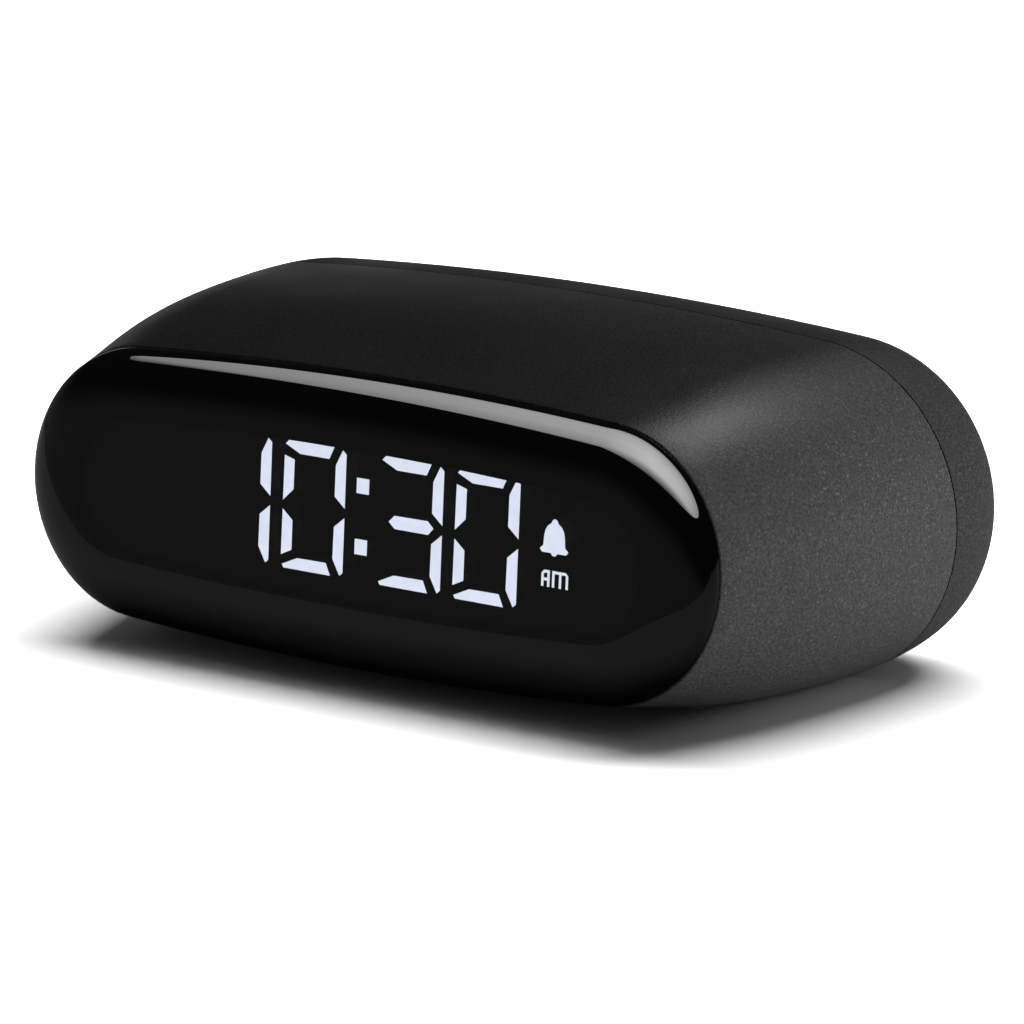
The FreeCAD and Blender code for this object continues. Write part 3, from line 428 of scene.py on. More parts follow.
# %% Metal and board finishes
nickel = grained("nickel_plate", (0.60, 0.58, 0.54), 0.28, 2500.0, 0.000004, 0.06, 1.0, (1, 8, 1))
zinc = grained("zinc_screw", (0.52, 0.53, 0.55), 0.35, 3000.0, 0.000006, 0.10, 1.0)
tin = grained("soldered_tin", (0.66, 0.66, 0.64), 0.30, 2600.0, 0.000004, 0.08, 1.0)
steel_gauze = grained("steel_gauze", (0.20, 0.20, 0.21), 0.40, 5000.0, 0.000002, 0.10, 1.0)
board_green = grained("solder_mask_green", (0.012, 0.075, 0.03), 0.35, 700.0, 0.000008, 0.35)
chip_black = grained("component_case", (0.02, 0.02, 0.02), 0.6, 5000.0, 0.00001, 0.25)
can_metal = grained("component_can", (0.62, 0.62, 0.60), 0.30, 2200.0, 0.000004, 0.05, 1.0)
foil_copper = grained("touch_foil", (0.72, 0.42, 0.27), 0.30, 1800.0, 0.000004, 0.08, 1.0)
lamp_yellow = grained("lamp_phosphor", (0.85, 0.72, 0.22), 0.4, 4000.0, 0.000004, 0.05)
print("materials so far:", len(bpy.data.materials))

# %% [markdown]
# A cell wears a plain blue-grey jacket that stops short of its ends, where the bare steel shows.
# The switch from one to the other is a step in the distance from the middle of the cell.

# %% Cell finish
JACKET = (0.05, 0.09, 0.16)
JACKET_END = 21.2 * MM
BARE_STEEL = (0.62, 0.61, 0.58)


def cell_jacket():
    finish, shader = start_finish("cell_jacket", JACKET, 0.3)
    tree = finish.node_tree
    spot = add(tree, "ShaderNodeTexCoord").outputs["Object"]
    along = add(tree, "ShaderNodeSeparateXYZ", {0: spot}).outputs["X"]
    beyond = calc(tree, "GREATER_THAN", calc(tree, "ABSOLUTE", along), JACKET_END)
    vary_tone(shader, beyond, (0.4, JACKET), (0.6, BARE_STEEL))
    add_relief(shader, noise_of(shader, 500.0), 0.00001)
    vary_roughness(shader, noise_of(shader, 80.0), 0.25, 0.38)
    return finish


cell_wrap = cell_jacket()
print("jacket ends at", JACKET_END / MM, "mm")

# %% [markdown]
# ### Who wears what
# One table names the solids of each finish, so nothing is forgotten.

# %% Give every carried-over solid its finish
KEYS = ("set_button", "hour_button", "minute_button", "alarm_button")
FINISHES = {
    anthracite: ["housing_sleeve"],
    # The cover's darker tone is painted shade.
    shaded_cover_plastic: ["rear_cover", "battery_door"],
    key_plastic: [*(key + "_cap" for key in KEYS), "alarm_slider"],
    inner_black: ["display_carrier", *(key + "_plunger" for key in KEYS), "slider_lever"],
    reflector_white: ["segment_reflector"],
    foot_rubber: ["foot_left", "foot_right"],
    mask_print: ["display_mask"],
    smoked_window: ["front_lens"],
    lit_white: [*(name for name in nodes if name.endswith("_segments")), "colon_dots",
                "bell_icon", "am_mark"],
    nickel: ["contact_front", "contact_rear", "cell_spring_front", "cell_spring_rear",
             "touch_spring"],
    zinc: [name for name in nodes if "screw" in name],
    board_green: ["main_board", "bridge_board", "display_board"],
    chip_black: ["microcontroller", "buzzer", "switch_bodies", "slide_switch_body",
                 "smoothing_capacitors"],
    can_metal: ["timing_crystal"],
    foil_copper: ["touch_plate"],
    lamp_yellow: ["segment_lamps"],
    cell_wrap: ["cell_front", "cell_rear"],
}
for finish, members in FINISHES.items():
    for name in members:
        mesh = nodes[name].data
        mesh.materials.clear()
        mesh.materials.append(finish)
dressed = {name for members in FINISHES.values() for name in members}
print("finishes:", len(FINISHES), "undressed solids:", sorted(set(nodes) - dressed))

# %% [markdown]
# ## Geometry Nodes: the tools
# What follows a rule, or is there many times, is grown by a node tree. Every tree has named
# inputs for its sizes. A piece starts as an empty mesh, or as a few points that say where copies
# go; the tree runs on it once, and the result is kept as a plain mesh.

# %% A tree and its inputs
KINDS = {float: "Float", int: "Int", tuple: "Vector"}


def millimetres(sizes):
    """The same sizes in metres; whole numbers are counts and stay as they are."""
    return {name: size * MM if isinstance(size, float) else size for name, size in sizes.items()}


def new_tree(name, sizes, finishes=("Finish",)):
    """A tree that starts from spots, with one named input for each size and finish."""
    tree = bpy.data.node_groups.new(name, "GeometryNodeTree")

    def socket(label, kind, way="INPUT"):
        kind = "NodeSocket" + kind
        return tree.interface.new_socket(label, in_out=way, socket_type=kind)

    socket("Geometry", "Geometry", "OUTPUT")
    socket("Spots", "Geometry")
    for label, size in sizes.items():
        socket(label, KINDS[type(size)]).default_value = size
    for label in finishes:
        socket(label, "Material")
    given = tree.nodes.new("NodeGroupInput").outputs
    result = tree.nodes.new("NodeGroupOutput").inputs["Geometry"]
    return tree, given, result


# %% [markdown]
# The sums that sizes need come first, then short names for the nodes that most pieces use: move,
# gather, weld, sweep and copy.

# %% Sums and common nodes


def plus(tree, first, second):
    return calc(tree, "ADD", first, second)


def minus(tree, first, second):
    return calc(tree, "SUBTRACT", first, second)


def times(tree, first, second):
    return calc(tree, "MULTIPLY", first, second)


def negative(tree, value):
    return times(tree, value, -1.0)


def square_gap(tree, first, second):
    """The difference of two squares."""
    return minus(tree, times(tree, first, first), times(tree, second, second))


def triple(tree, **axes):
    return add(tree, "ShaderNodeCombineXYZ", axes).outputs[0]


def make(tree, kind, feeds=None, **options):
    """The first result of a geometry node."""
    return add(tree, "GeometryNode" + kind, feeds, **options).outputs[0]


def axis_of(tree, axis):
    """Where a point lies along one axis."""
    spot = make(tree, "InputPosition")
    return add(tree, "ShaderNodeSeparateXYZ", {0: spot}).outputs[axis]


def move(tree, geometry, **changes):
    """Shift, turn or scale what comes in."""
    return make(tree, "Transform", {"Geometry": geometry, **changes})


def shift(tree, geometry, **axes):
    return move(tree, geometry, Translation=triple(tree, **axes))


def gather(tree, *pieces):
    everything = tree.nodes.new("GeometryNodeJoinGeometry")
    for piece in reversed(pieces):
        tree.links.new(piece, everything.inputs[0])
    return everything.outputs[0]


def weld(tree, geometry, gap):
    return make(tree, "MergeByDistance", {"Geometry": geometry, "Distance": gap})


def one_curve(tree, pieces, gap):
    """Curves that meet end to end become one curve."""
    wire = make(tree, "CurveToMesh", {"Curve": pieces})
    return make(tree, "MeshToCurve", {"Mesh": weld(tree, wire, gap)})


def lines_between(tree, spots):
    return [make(tree, "CurvePrimitiveLine", {"Start": start, "End": end})
            for start, end in zip(spots, spots[1:])]


def flat_spots(tree, corners):
    return [triple(tree, X=across, Y=up) for across, up in corners]


def arc(tree, steps, radius, start, sweep_angle):
    return make(tree, "CurveArc", {
        "Resolution": steps, "Radius": radius, "Start Angle": start, "Sweep Angle": sweep_angle,
    }, mode="RADIUS")


def sweep(tree, path, section, caps=False):
    """Carry a section along a path and keep it upright."""
    level = make(tree, "SetCurveNormal", {"Curve": path}, mode="Z_UP")
    feeds = {"Curve": level, "Profile Curve": section, "Fill Caps": caps}
    return make(tree, "CurveToMesh", feeds)


def real_copies(tree, spots, shape, turn=(0, 0, 0)):
    """A real copy of the shape on each spot."""
    feeds = {"Points": spots, "Instance": shape, "Rotation": turn}
    spread = make(tree, "InstanceOnPoints", feeds)
    return make(tree, "RealizeInstances", {"Geometry": spread})


# %% [markdown]
# Every tree ends alike: it dresses the shape, makes the copies real and marks the real corners.
# Then it runs once, and the piece keeps only the plain mesh.

# %% Last steps and growing
SMOOTH_UP_TO = 30.0


def paint(tree, geometry, finish):
    return make(tree, "SetMaterial", {"Geometry": geometry, "Material": finish})


def finish_off(tree, result, geometry, corner_degrees=SMOOTH_UP_TO):
    """Last steps of every tree: no instances, and smooth faces with real corners."""
    real = make(tree, "RealizeInstances", {"Geometry": geometry})
    smooth = make(tree, "SetShadeSmooth", {"Geometry": real})
    angle = make(tree, "InputMeshEdgeAngle")
    corner = calc(tree, "GREATER_THAN", angle, math.radians(corner_degrees))
    feeds = {"Geometry": smooth, "Selection": corner, "Shade Smooth": False}
    tree.links.new(make(tree, "SetShadeSmooth", feeds, domain="EDGE"), result)


def set_out(tree, given, result, shape, turn=(0, 0, 0), corner_degrees=SMOOTH_UP_TO):
    """Last steps of a small part: a copy on every spot, in its finish."""
    spread = real_copies(tree, given["Spots"], shape, turn)
    finish_off(tree, result, paint(tree, spread, given["Finish"]), corner_degrees)


def grow(name, tree, inputs, spots=()):
    """Run a tree once and keep what it makes as a plain mesh, its faces turned outwards."""
    piece = place(name, bpy.data.meshes.new(name + "_spots"))
    piece.data.from_pydata([Vector(spot) for spot in spots], [], [])
    modifier = piece.modifiers.new("grow", "NODES")
    modifier.node_group = tree
    for item in tree.interface.items_tree:
        if item.in_out == "INPUT" and item.name in inputs:
            modifier[item.identifier] = inputs[item.name]
    graph = bpy.context.evaluated_depsgraph_get()
    mesh = bpy.data.meshes.new_from_object(piece.evaluated_get(graph))
    piece.modifiers.clear()
    work = bmesh.new()
    work.from_mesh(mesh)
    bmesh.ops.recalc_face_normals(work, faces=work.faces)
    open_edges = sum(not edge.is_manifold for edge in work.edges)
    work.to_mesh(mesh)
    work.free()
    mesh.name = name
    piece.data = mesh
    low, high = piece.bound_box[0], piece.bound_box[6]
    size = [round((b - a) / MM, 2) for a, b in zip(low, high)]
    print(name, len(mesh.polygons), "faces, open edges", open_edges, "size", size)
    return piece


# %% [markdown]
# ## The window
# The window is one acrylic moulding: a flat front whose edge rolls over along a quarter of an
# ellipse, a short straight rim, and a skirt that plugs into the housing. It could be turned out of
# a subdivided box, but a polished edge shows every uneven face as a wobble in the reflection. So it
# grows from its rule. Its outline is an oval of four arcs, two small ones at the ends and two
# long flat ones, and every other loop is the same oval moved inwards.

# %% Outline of the window
OVAL = millimetres({"Half Width": 43.95, "Half Height": 15.35, "End Radius": 14.35})
OVAL_WELD = 0.01 * MM


def oval_tree():
    sizes = {**OVAL, "End Steps": 112, "Long Steps": 48}
    tree, given, result = new_tree("window_oval", sizes, ())
    radius, half_height = given["End Radius"], given["Half Height"]
    reach = minus(tree, given["Half Width"], radius)
    rise = minus(tree, half_height, radius)
    drop = calc(tree, "DIVIDE", square_gap(tree, reach, rise), times(tree, rise, 2.0))
    joint = calc(tree, "ARCTAN2", drop, reach)
    end_sweep = times(tree, joint, 2.0)
    end = arc(tree, given["End Steps"], radius, negative(tree, joint), end_sweep)
    top_sweep = minus(tree, math.pi, end_sweep)
    top = arc(tree, given["Long Steps"], plus(tree, half_height, drop), joint, top_sweep)
    half = gather(tree, shift(tree, end, X=reach), shift(tree, top, Y=negative(tree, drop)))
    whole = gather(tree, half, move(tree, half, Rotation=(0, 0, math.pi)))
    tree.links.new(one_curve(tree, whole, OVAL_WELD), result)
    return tree


window_oval = oval_tree()
print("oval", {name: round(size / MM, 2) for name, size in OVAL.items()})

# %% [markdown]
# The section of the window is swept round the oval. It runs from the flat front over the roll,
# down the straight edge, round the skirt and back to the inner face.

# %% Section of the window
ROLL_STEPS = 28
FINE_WELD = 0.002 * MM


def section_curve(tree, given):
    """Half a cross-section: X runs outwards from the rim, Y to the rear."""
    roll, depth, ring = given["Roll"], given["Roll Depth"], given["Flat Ring"]
    back = negative(tree, roll)
    rim = negative(tree, given["Edge"])
    front = negative(tree, plus(tree, depth, given["Edge"]))
    quarter = arc(tree, ROLL_STEPS + 1, 1.0, 0.0, -math.pi / 2)
    rolled = move(tree, quarter, Scale=triple(tree, X=roll, Y=depth, Z=1.0),
                  Translation=triple(tree, X=back, Y=rim))
    outer = negative(tree, given["Skirt Inset"])
    inner = minus(tree, outer, given["Skirt Wall"])
    inner_face = plus(tree, front, given["Wall"])
    before_roll = [(minus(tree, back, ring), front), (back, front)]
    after_roll = [
        (0.0, rim),
        (0.0, 0.0),
        (outer, 0.0),
        (outer, given["Skirt Depth"]),
        (inner, given["Skirt Depth"]),
        (inner, inner_face),
        (minus(tree, inner, ring), inner_face),
    ]
    runs = [rolled]
    for corners in (before_roll, after_roll):
        runs += lines_between(tree, flat_spots(tree, corners))
    return one_curve(tree, gather(tree, *runs), FINE_WELD)


# %% [markdown]
# Sweeping leaves two holes, the flat front and the flat inner face, which are filled. A narrow
# flat ring next to each keeps the shading of the flat exactly flat. At last the window is stood
# upright and leant back as the front of the housing is.

# %% Body of the window
WINDOW_SIZES = millimetres({
    "Edge": 0.3, "Roll": 6.8, "Roll Depth": 3.3, "Flat Ring": 0.5, "Wall": 1.8,
    "Skirt Inset": 2.0, "Skirt Wall": 1.6, "Skirt Depth": 3.0,
})
LEAN = math.radians(3.8)
AXIS_Z = 17.398 * MM
WINDOW_CENTRE = (0, -22.1 * MM, AXIS_Z)
TO_FRONT = (math.pi / 2, 0, 0)


def window_tree():
    sizes = {**OVAL, **WINDOW_SIZES, "Lean": LEAN, "Centre": WINDOW_CENTRE}
    tree, given, result = new_tree("window_body", sizes, ("Rim Finish", "Window Finish"))
    path = make(tree, "Group", {size: given[size] for size in OVAL}, node_tree=window_oval)
    swept = sweep(tree, path, section_curve(tree, given))

    hole = calc(tree, "LESS_THAN", make(tree, "InputMeshEdgeNeighbors"), 1.5)
    feeds = {"Geometry": swept, "Selection": hole}
    rings = make(tree, "MeshToCurve", {
        "Mesh": make(tree, "SeparateGeometry", feeds, domain="EDGE"),
    })
    front = plus(tree, given["Roll Depth"], given["Edge"])
    inner = minus(tree, front, given["Wall"])
    middle = times(tree, plus(tree, front, inner), 0.5)
    ahead = calc(tree, "GREATER_THAN", axis_of(tree, "Z"), middle)
    feeds = {"Geometry": rings, "Selection": ahead}
    parted = add(tree, "GeometryNodeSeparateGeometry", feeds).outputs
    flats = []
    for ring, depth in zip(parted, (front, inner)):
        flat = make(tree, "FillCurve", {"Curve": ring}, mode="NGONS")
        clear = paint(tree, flat, given["Window Finish"])
        flats.append(shift(tree, clear, Z=depth))
    closed = gather(tree, paint(tree, swept, given["Rim Finish"]), *flats)

    upright = move(tree, weld(tree, closed, FINE_WELD), Rotation=TO_FRONT)
    lean = triple(tree, X=negative(tree, given["Lean"]))
    finish_off(tree, result, move(tree, upright, Rotation=lean, Translation=given["Centre"]))
    return tree


window = grow("window", window_tree(), {"Rim Finish": gloss_rim, "Window Finish": smoked_window})
print("grown window", in_mm((window.bound_box[0], window.bound_box[6])))
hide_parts("front_lens")
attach(window, "clock")

# %% [markdown]
# ## Turned parts
# Screws and keys are turned parts. The outline is drawn once, from the middle of one end to the
# middle of the other, and swept round a circle. The radius of that circle is taken off the
# outline again, so the first and the last corner meet on the axis.

# %% Turning
CORE = 1 * MM
TINY_WELD = 0.001 * MM


def turned(tree, corners, steps):
    """Sweep an outline of (radius, height) corners round the Z axis."""
    drawn = [(minus(tree, radius, CORE), negative(tree, height)) for radius, height in corners]
    lines = lines_between(tree, flat_spots(tree, drawn))
    outline = one_curve(tree, gather(tree, *lines), TINY_WELD)
    circle = make(tree, "CurvePrimitiveCircle", {"Resolution": steps, "Radius": CORE})
    return weld(tree, sweep(tree, circle, outline), TINY_WELD)


# %% [markdown]
# ## Screws
# Two screws hold the rear cover and four hold the board. The thread is a spiral with a
# three-cornered section, and two crossed bars are cut out of the head. Everything that makes a
# screw bigger or smaller is an input, so one tree serves both sizes.

# %% The screw
HEAD_SECTION = ((0.0, 1.0), (0.45, 0.99), (0.72, 0.92), (0.90, 0.76), (0.98, 0.52), (1.0, 0.25),
                (1.0, 0.0))
SCREW_STEPS = 48
THREAD_STEPS = 20
# The point is given in shank radii, the place of the thread in screw lengths.
POINT = 1.2
THREAD_SPAN = 0.9
THREAD_END = -0.96
COVER_SCREW = millimetres({
    "Head Radius": 2.4, "Head Height": 1.9, "Shank Radius": 1.0, "Length": 15.0, "Pitch": 0.9,
    "Thread": 0.25, "Recess Length": 3.0, "Recess Width": 0.6, "Recess Depth": 1.0,
})
BOARD_SCREW = millimetres({
    "Head Radius": 1.9, "Head Height": 1.3, "Shank Radius": 0.72, "Length": 5.0, "Pitch": 0.6,
    "Thread": 0.18, "Recess Length": 2.4, "Recess Width": 0.44, "Recess Depth": 0.7,
})


def recessed(tree, given, blank):
    """Cut the cross for the screwdriver out of the head."""
    deep = times(tree, given["Recess Depth"], 2.0)
    long, wide = given["Recess Length"], given["Recess Width"]
    cut = add(tree, "GeometryNodeMeshBoolean", {"Mesh 1": blank}, operation="DIFFERENCE",
              solver="EXACT")
    for sides in ({"X": long, "Y": wide}, {"X": wide, "Y": long}):
        bar = make(tree, "MeshCube", {"Size": triple(tree, Z=deep, **sides)})
        bar = shift(tree, bar, Z=given["Head Height"])
        tree.links.new(bar, cut.inputs["Mesh 2"])
    return cut.outputs[0]


def thread_of(tree, given, point):
    """A ridge that winds round the shank, down to the point."""
    length, shank = given["Length"], given["Shank Radius"]
    span = minus(tree, times(tree, length, THREAD_SPAN), shank)
    spiral = make(tree, "CurveSpiral", {
        "Resolution": THREAD_STEPS, "Rotations": calc(tree, "DIVIDE", span, given["Pitch"]),
        "Start Radius": shank, "End Radius": shank, "Height": span,
    })
    ridge = make(tree, "CurvePrimitiveCircle", {"Resolution": 3, "Radius": given["Thread"]})
    start = plus(tree, times(tree, length, THREAD_END), point)
    return shift(tree, sweep(tree, spiral, ridge, True), Z=start)


def screw_tree():
    tree, given, result = new_tree("screw", {**COVER_SCREW, "Turn": (0, 0, 0)})
    radius, height, shank = given["Head Radius"], given["Head Height"], given["Shank Radius"]
    length = given["Length"]
    point = times(tree, shank, POINT)
    corners = [(times(tree, radius, across), times(tree, height, up))
               for across, up in HEAD_SECTION]
    corners += [(shank, 0.0), (shank, minus(tree, point, length)), (0.0, negative(tree, length))]
    head = recessed(tree, given, turned(tree, corners, SCREW_STEPS))
    whole = gather(tree, head, thread_of(tree, given, point))
    set_out(tree, given, result, whole, given["Turn"])
    return tree


# %% [markdown]
# The spots say where the heads sit. The cover screws point to the front, with their heads in the
# counterbores of the cover. The board screws point to the rear.

# %% Six screws
TO_REAR = (-math.pi / 2, 0, 0)
COVER_SCREW_AT = (42.5 * MM, 17.0 * MM)
BOARD_SCREW_AT = (34.0 * MM, 16.3 * MM)
BOARD_SCREW_UP = 6.5 * MM
SIDES = (-1, 1)

screw = screw_tree()
out, deep = COVER_SCREW_AT
cover_screws = grow("cover_screws", screw, {"Turn": TO_REAR, "Finish": zinc},
                    [(side * out, deep, AXIS_Z) for side in SIDES])
out, deep = BOARD_SCREW_AT
board_screws = grow("board_screws", screw, {**BOARD_SCREW, "Turn": TO_FRONT, "Finish": zinc},
                    [(side * out, deep, AXIS_Z + up * BOARD_SCREW_UP)
                     for side in SIDES for up in SIDES])
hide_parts("cover_screw_left", "cover_screw_right")
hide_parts("board_screw_left_low", "board_screw_left_high",
            "board_screw_right_low", "board_screw_right_high")
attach(cover_screws, "clock")
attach(board_screws, "clock")

# %% [markdown]
# ## Slabs, rods and rows
# The feet and the slider share three simple shapes: a flat block, a round bar and a row of points.

# %% Slabs, rods and rows
CORNER_STEPS = 8


def slab(tree, width, length, corner, thickness):
    """A flat block with rounded corners, from the XY plane upwards."""
    feeds = {"Width": width, "Height": length}
    outline = make(tree, "CurvePrimitiveQuadrilateral", feeds, mode="RECTANGLE")
    feeds = {"Curve": outline, "Radius": corner, "Count": CORNER_STEPS}
    rounded = make(tree, "FilletCurve", feeds, mode="POLY")
    face = make(tree, "FillCurve", {"Curve": rounded}, mode="NGONS")
    feeds = {"Mesh": face, "Offset": (0, 0, 1), "Offset Scale": thickness, "Individual": False}
    raised = make(tree, "ExtrudeMesh", feeds, mode="FACES")
    under = make(tree, "FlipFaces", {"Mesh": face})
    return weld(tree, gather(tree, raised, under), TINY_WELD)


def rod(tree, sides, radius, length):
    return make(tree, "MeshCylinder", {
        "Vertices": sides, "Side Segments": 1, "Fill Segments": 1, "Radius": radius,
        "Depth": length,
    }, fill_type="NGON")


def row_of(tree, count, pitch, axis, **fixed):
    """Points in a straight row, as many on each side of the middle."""
    start = times(tree, times(tree, minus(tree, count, 1.0), pitch), -0.5)
    return make(tree, "MeshLine", {
        "Count": count, "Start Location": triple(tree, **{axis: start}, **fixed),
        "Offset": triple(tree, **{axis: pitch}),
    }, mode="OFFSET", count_mode="TOTAL")


# %% [markdown]
# ## Feet
# The feet are strips of soft rubber pressed into two shallow pockets of the belly. Fine ribs
# across the strip give the grip. Each is a round bar half sunk in the strip, and a row of points
# places as many as fit.

# %% Ribbed feet
FOOT_SIZES = millimetres({
    "Width": 5.2, "Length": 18.3, "Corner": 1.5, "Height": 0.7, "Rib": 0.16, "Pitch": 0.6,
    "Margin": 0.5,
})
FOOT_AT = (29.5 * MM, 0.55 * MM)
RIB_SIDES = 12


def foot_tree():
    tree, given, result = new_tree("ribbed_foot", FOOT_SIZES)
    width, length, corner = given["Width"], given["Length"], given["Corner"]
    rib, pitch = given["Rib"], given["Pitch"]
    strip = slab(tree, width, length, corner, minus(tree, given["Height"], rib))
    clear = minus(tree, length, times(tree, corner, 2.0))
    gaps = calc(tree, "FLOOR", calc(tree, "DIVIDE", clear, pitch))
    row = row_of(tree, plus(tree, gaps, 1.0), pitch, "Y")
    across = minus(tree, width, times(tree, given["Margin"], 2.0))
    bar = rod(tree, RIB_SIDES, rib, across)
    whole = gather(tree, strip, real_copies(tree, row, bar, (0, math.pi / 2, 0)))
    set_out(tree, given, result, shift(tree, whole, Z=rib))
    return tree


out, deep = FOOT_AT
feet = grow("feet", foot_tree(), {"Finish": foot_rubber},
            [(side * out, deep, 0.0) for side in SIDES])
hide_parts("foot_left", "foot_right")
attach(feet, "clock")

# %% [markdown]
# ## Gauze behind the sound holes
# A round piece of woven wire keeps dust off the buzzer. Each wire is a straight line, bent into a
# wave whose height follows the place along the wire. Neighbouring wires start the wave half a
# step later, and the wires of the other direction fill the gaps, so they pass over and under each
# other as in cloth. A wire is only as long as the circle is wide where it lies.

# %% Woven gauze
GAUZE_SIZES = millimetres({
    "Radius": 3.4, "Pitch": 0.24, "Wire": 0.035, "Wires": 27, "Steps": 4,
})
GAUZE_AT = (-29.0 * MM, 23.42 * MM, AXIS_Z)
WIRE_SIDES = 6


def laid_wires(tree, given):
    """Straight wires side by side in a circle; each one knows its number."""
    row = row_of(tree, given["Wires"], given["Pitch"], "Y")
    half = calc(tree, "SQRT", square_gap(tree, given["Radius"], axis_of(tree, "Y")))
    straight = make(tree, "CurvePrimitiveLine", {"Start": (-1, 0, 0), "End": (1, 0, 0)})
    numbered = make(tree, "StoreNamedAttribute", {
        "Geometry": row, "Name": "wire", "Value": make(tree, "InputIndex"),
    }, data_type="FLOAT", domain="POINT")
    laid = make(tree, "InstanceOnPoints", {
        "Points": numbered, "Instance": straight, "Scale": triple(tree, X=half, Y=1.0, Z=1.0),
    })
    return make(tree, "RealizeInstances", {"Geometry": laid})


def gauze_tree():
    tree, given, result = new_tree("woven_gauze", GAUZE_SIZES)
    pitch, wire = given["Pitch"], given["Wire"]
    stride = calc(tree, "DIVIDE", pitch, given["Steps"])
    feeds = {"Curve": laid_wires(tree, given), "Length": stride}
    fine = make(tree, "ResampleCurve", feeds, mode="LENGTH")
    number = make(tree, "InputNamedAttribute", {"Name": "wire"}, data_type="FLOAT")
    step = plus(tree, calc(tree, "DIVIDE", axis_of(tree, "X"), pitch), number)
    phase = plus(tree, times(tree, step, math.pi), math.pi / 2)
    wave = times(tree, calc(tree, "SINE", phase), wire)
    bent = make(tree, "SetPosition", {"Geometry": fine, "Offset": triple(tree, Z=wave)})
    section = make(tree, "CurvePrimitiveCircle", {"Resolution": WIRE_SIDES, "Radius": wire})
    feeds = {"Curve": bent, "Profile Curve": section, "Fill Caps": True}
    warp = make(tree, "CurveToMesh", feeds)
    weft = move(tree, warp, Rotation=(math.pi, 0, math.pi / 2))
    set_out(tree, given, result, gather(tree, warp, weft), TO_REAR)
    return tree


gauze = grow("sound_gauze", gauze_tree(), {"Finish": steel_gauze}, [GAUZE_AT])
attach(gauze, "clock")

# %% [markdown]
# ## Leads of the chip
# The clock's small computer is soldered by two rows of bent leads. One lead is a flat strip swept
# along a path with two bends, and it is copied down both sides of the case.

# %% Bent leads
LEAD_SIZES = millimetres({
    "Reach": 1.3, "Drop": 0.7, "Strip Width": 0.36, "Strip Thickness": 0.13, "Middle": -3.0,
})
LEAD_PATH = ((0.0, 0.0), (0.25, 0.0), (0.36, -0.12), (0.5, -0.88), (0.61, -1.0), (1.0, -1.0))
LEAD_CORNER = 40.0
CHIP_AT = (15.5 * MM, 22.1 * MM)
CHIP_EDGE = 4.9 * MM
LEAD_ROWS = 14
LEAD_PITCH = 0.72 * MM


def leads_tree():
    tree, given, result = new_tree("bent_leads", LEAD_SIZES)
    spots = [triple(tree, X=times(tree, given["Reach"], out), Z=times(tree, given["Drop"], down))
             for out, down in LEAD_PATH]
    path = one_curve(tree, gather(tree, *lines_between(tree, spots)), TINY_WELD)
    feeds = {"Width": given["Strip Width"], "Height": given["Strip Thickness"]}
    section = make(tree, "CurvePrimitiveQuadrilateral", feeds, mode="RECTANGLE")
    lead = sweep(tree, path, section, True)
    upright = move(tree, lead, Rotation=TO_FRONT)
    left = calc(tree, "LESS_THAN", axis_of(tree, "X"), given["Middle"])
    turn = triple(tree, Y=times(tree, left, math.pi))
    set_out(tree, given, result, upright, turn, LEAD_CORNER)
    return tree


deep, middle = CHIP_AT
rows = [middle + (row - (LEAD_ROWS - 1) / 2) * LEAD_PITCH for row in range(LEAD_ROWS)]
chip_leads = grow("chip_leads", leads_tree(), {"Finish": tin},
                  [(LEAD_SIZES["Middle"] + side * CHIP_EDGE, deep, row)
                   for side in SIDES for row in rows])
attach(chip_leads, "clock")

# %% [markdown]
# ## Keys
# A key is turned as well: a flange that stays behind the rear wall, a stem, a softly rounded rim
# and a shallow dish for the fingertip. The dish is a parabola, so the outline has a corner every
# few tenths of a millimetre, and the smooth shading hides the steps.

# %% Turned keys
KEY_SIZES = millimetres({
    "Radius": 3.0, "Flange Radius": 3.9, "Flange": 0.9, "Height": 3.8, "Rim": 0.4,
    "Dish Radius": 2.2, "Dish Depth": 0.25,
})
KEY_BACK = 22.5 * MM
KEY_ACROSS = (-17.0, -6.5, 4.0, 14.5)
KEY_STEPS = 8
KEY_SIDES = 64


def key_tree():
    tree, given, result = new_tree("key", KEY_SIZES)
    radius, height, rim = given["Radius"], given["Height"], given["Rim"]
    flange_radius, flange = given["Flange Radius"], given["Flange"]
    corners = [(0.0, 0.0), (flange_radius, 0.0), (flange_radius, flange), (radius, flange)]
    for step in range(KEY_STEPS + 1):
        angle = math.pi / 2 * step / KEY_STEPS
        corners.append((minus(tree, radius, times(tree, rim, 1 - math.cos(angle))),
                        minus(tree, height, times(tree, rim, 1 - math.sin(angle)))))
    for step in range(KEY_STEPS, -1, -1):
        part = step / KEY_STEPS
        sunk = times(tree, given["Dish Depth"], 1 - part * part)
        corners.append((times(tree, given["Dish Radius"], part), minus(tree, height, sunk)))
    set_out(tree, given, result, turned(tree, corners, KEY_SIDES), TO_REAR)
    return tree


key = key_tree()
for body, across in zip(KEYS, KEY_ACROSS):
    cap = grow(body + "_key", key, {"Finish": key_plastic}, [(across * MM, KEY_BACK, AXIS_Z)])
    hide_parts(body + "_cap")
    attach(cap, body)

# %% [markdown]
# ## Slider
# The alarm slider is a plate that runs behind the rear wall, with a knob that stands through the
# slot. The grip is a row of round grooves: a row of bars is cut out of the knob, and what stays
# between them are the ribs a finger feels.

# %% Grooved slider
SLIDER_SIZES = millimetres({
    "Plate Width": 10.8, "Plate Height": 6.4, "Plate Shift": -1.0, "Plate": 0.9,
    "Knob Width": 5.2, "Knob Height": 3.2, "Corner": 0.35, "Reach": 3.8, "Groove": 0.24,
    "Grooves": 5, "Pitch": 0.8,
})
SLIDER_AT = (29.0 * MM, KEY_BACK, AXIS_Z)
GROOVE_SIDES = 20


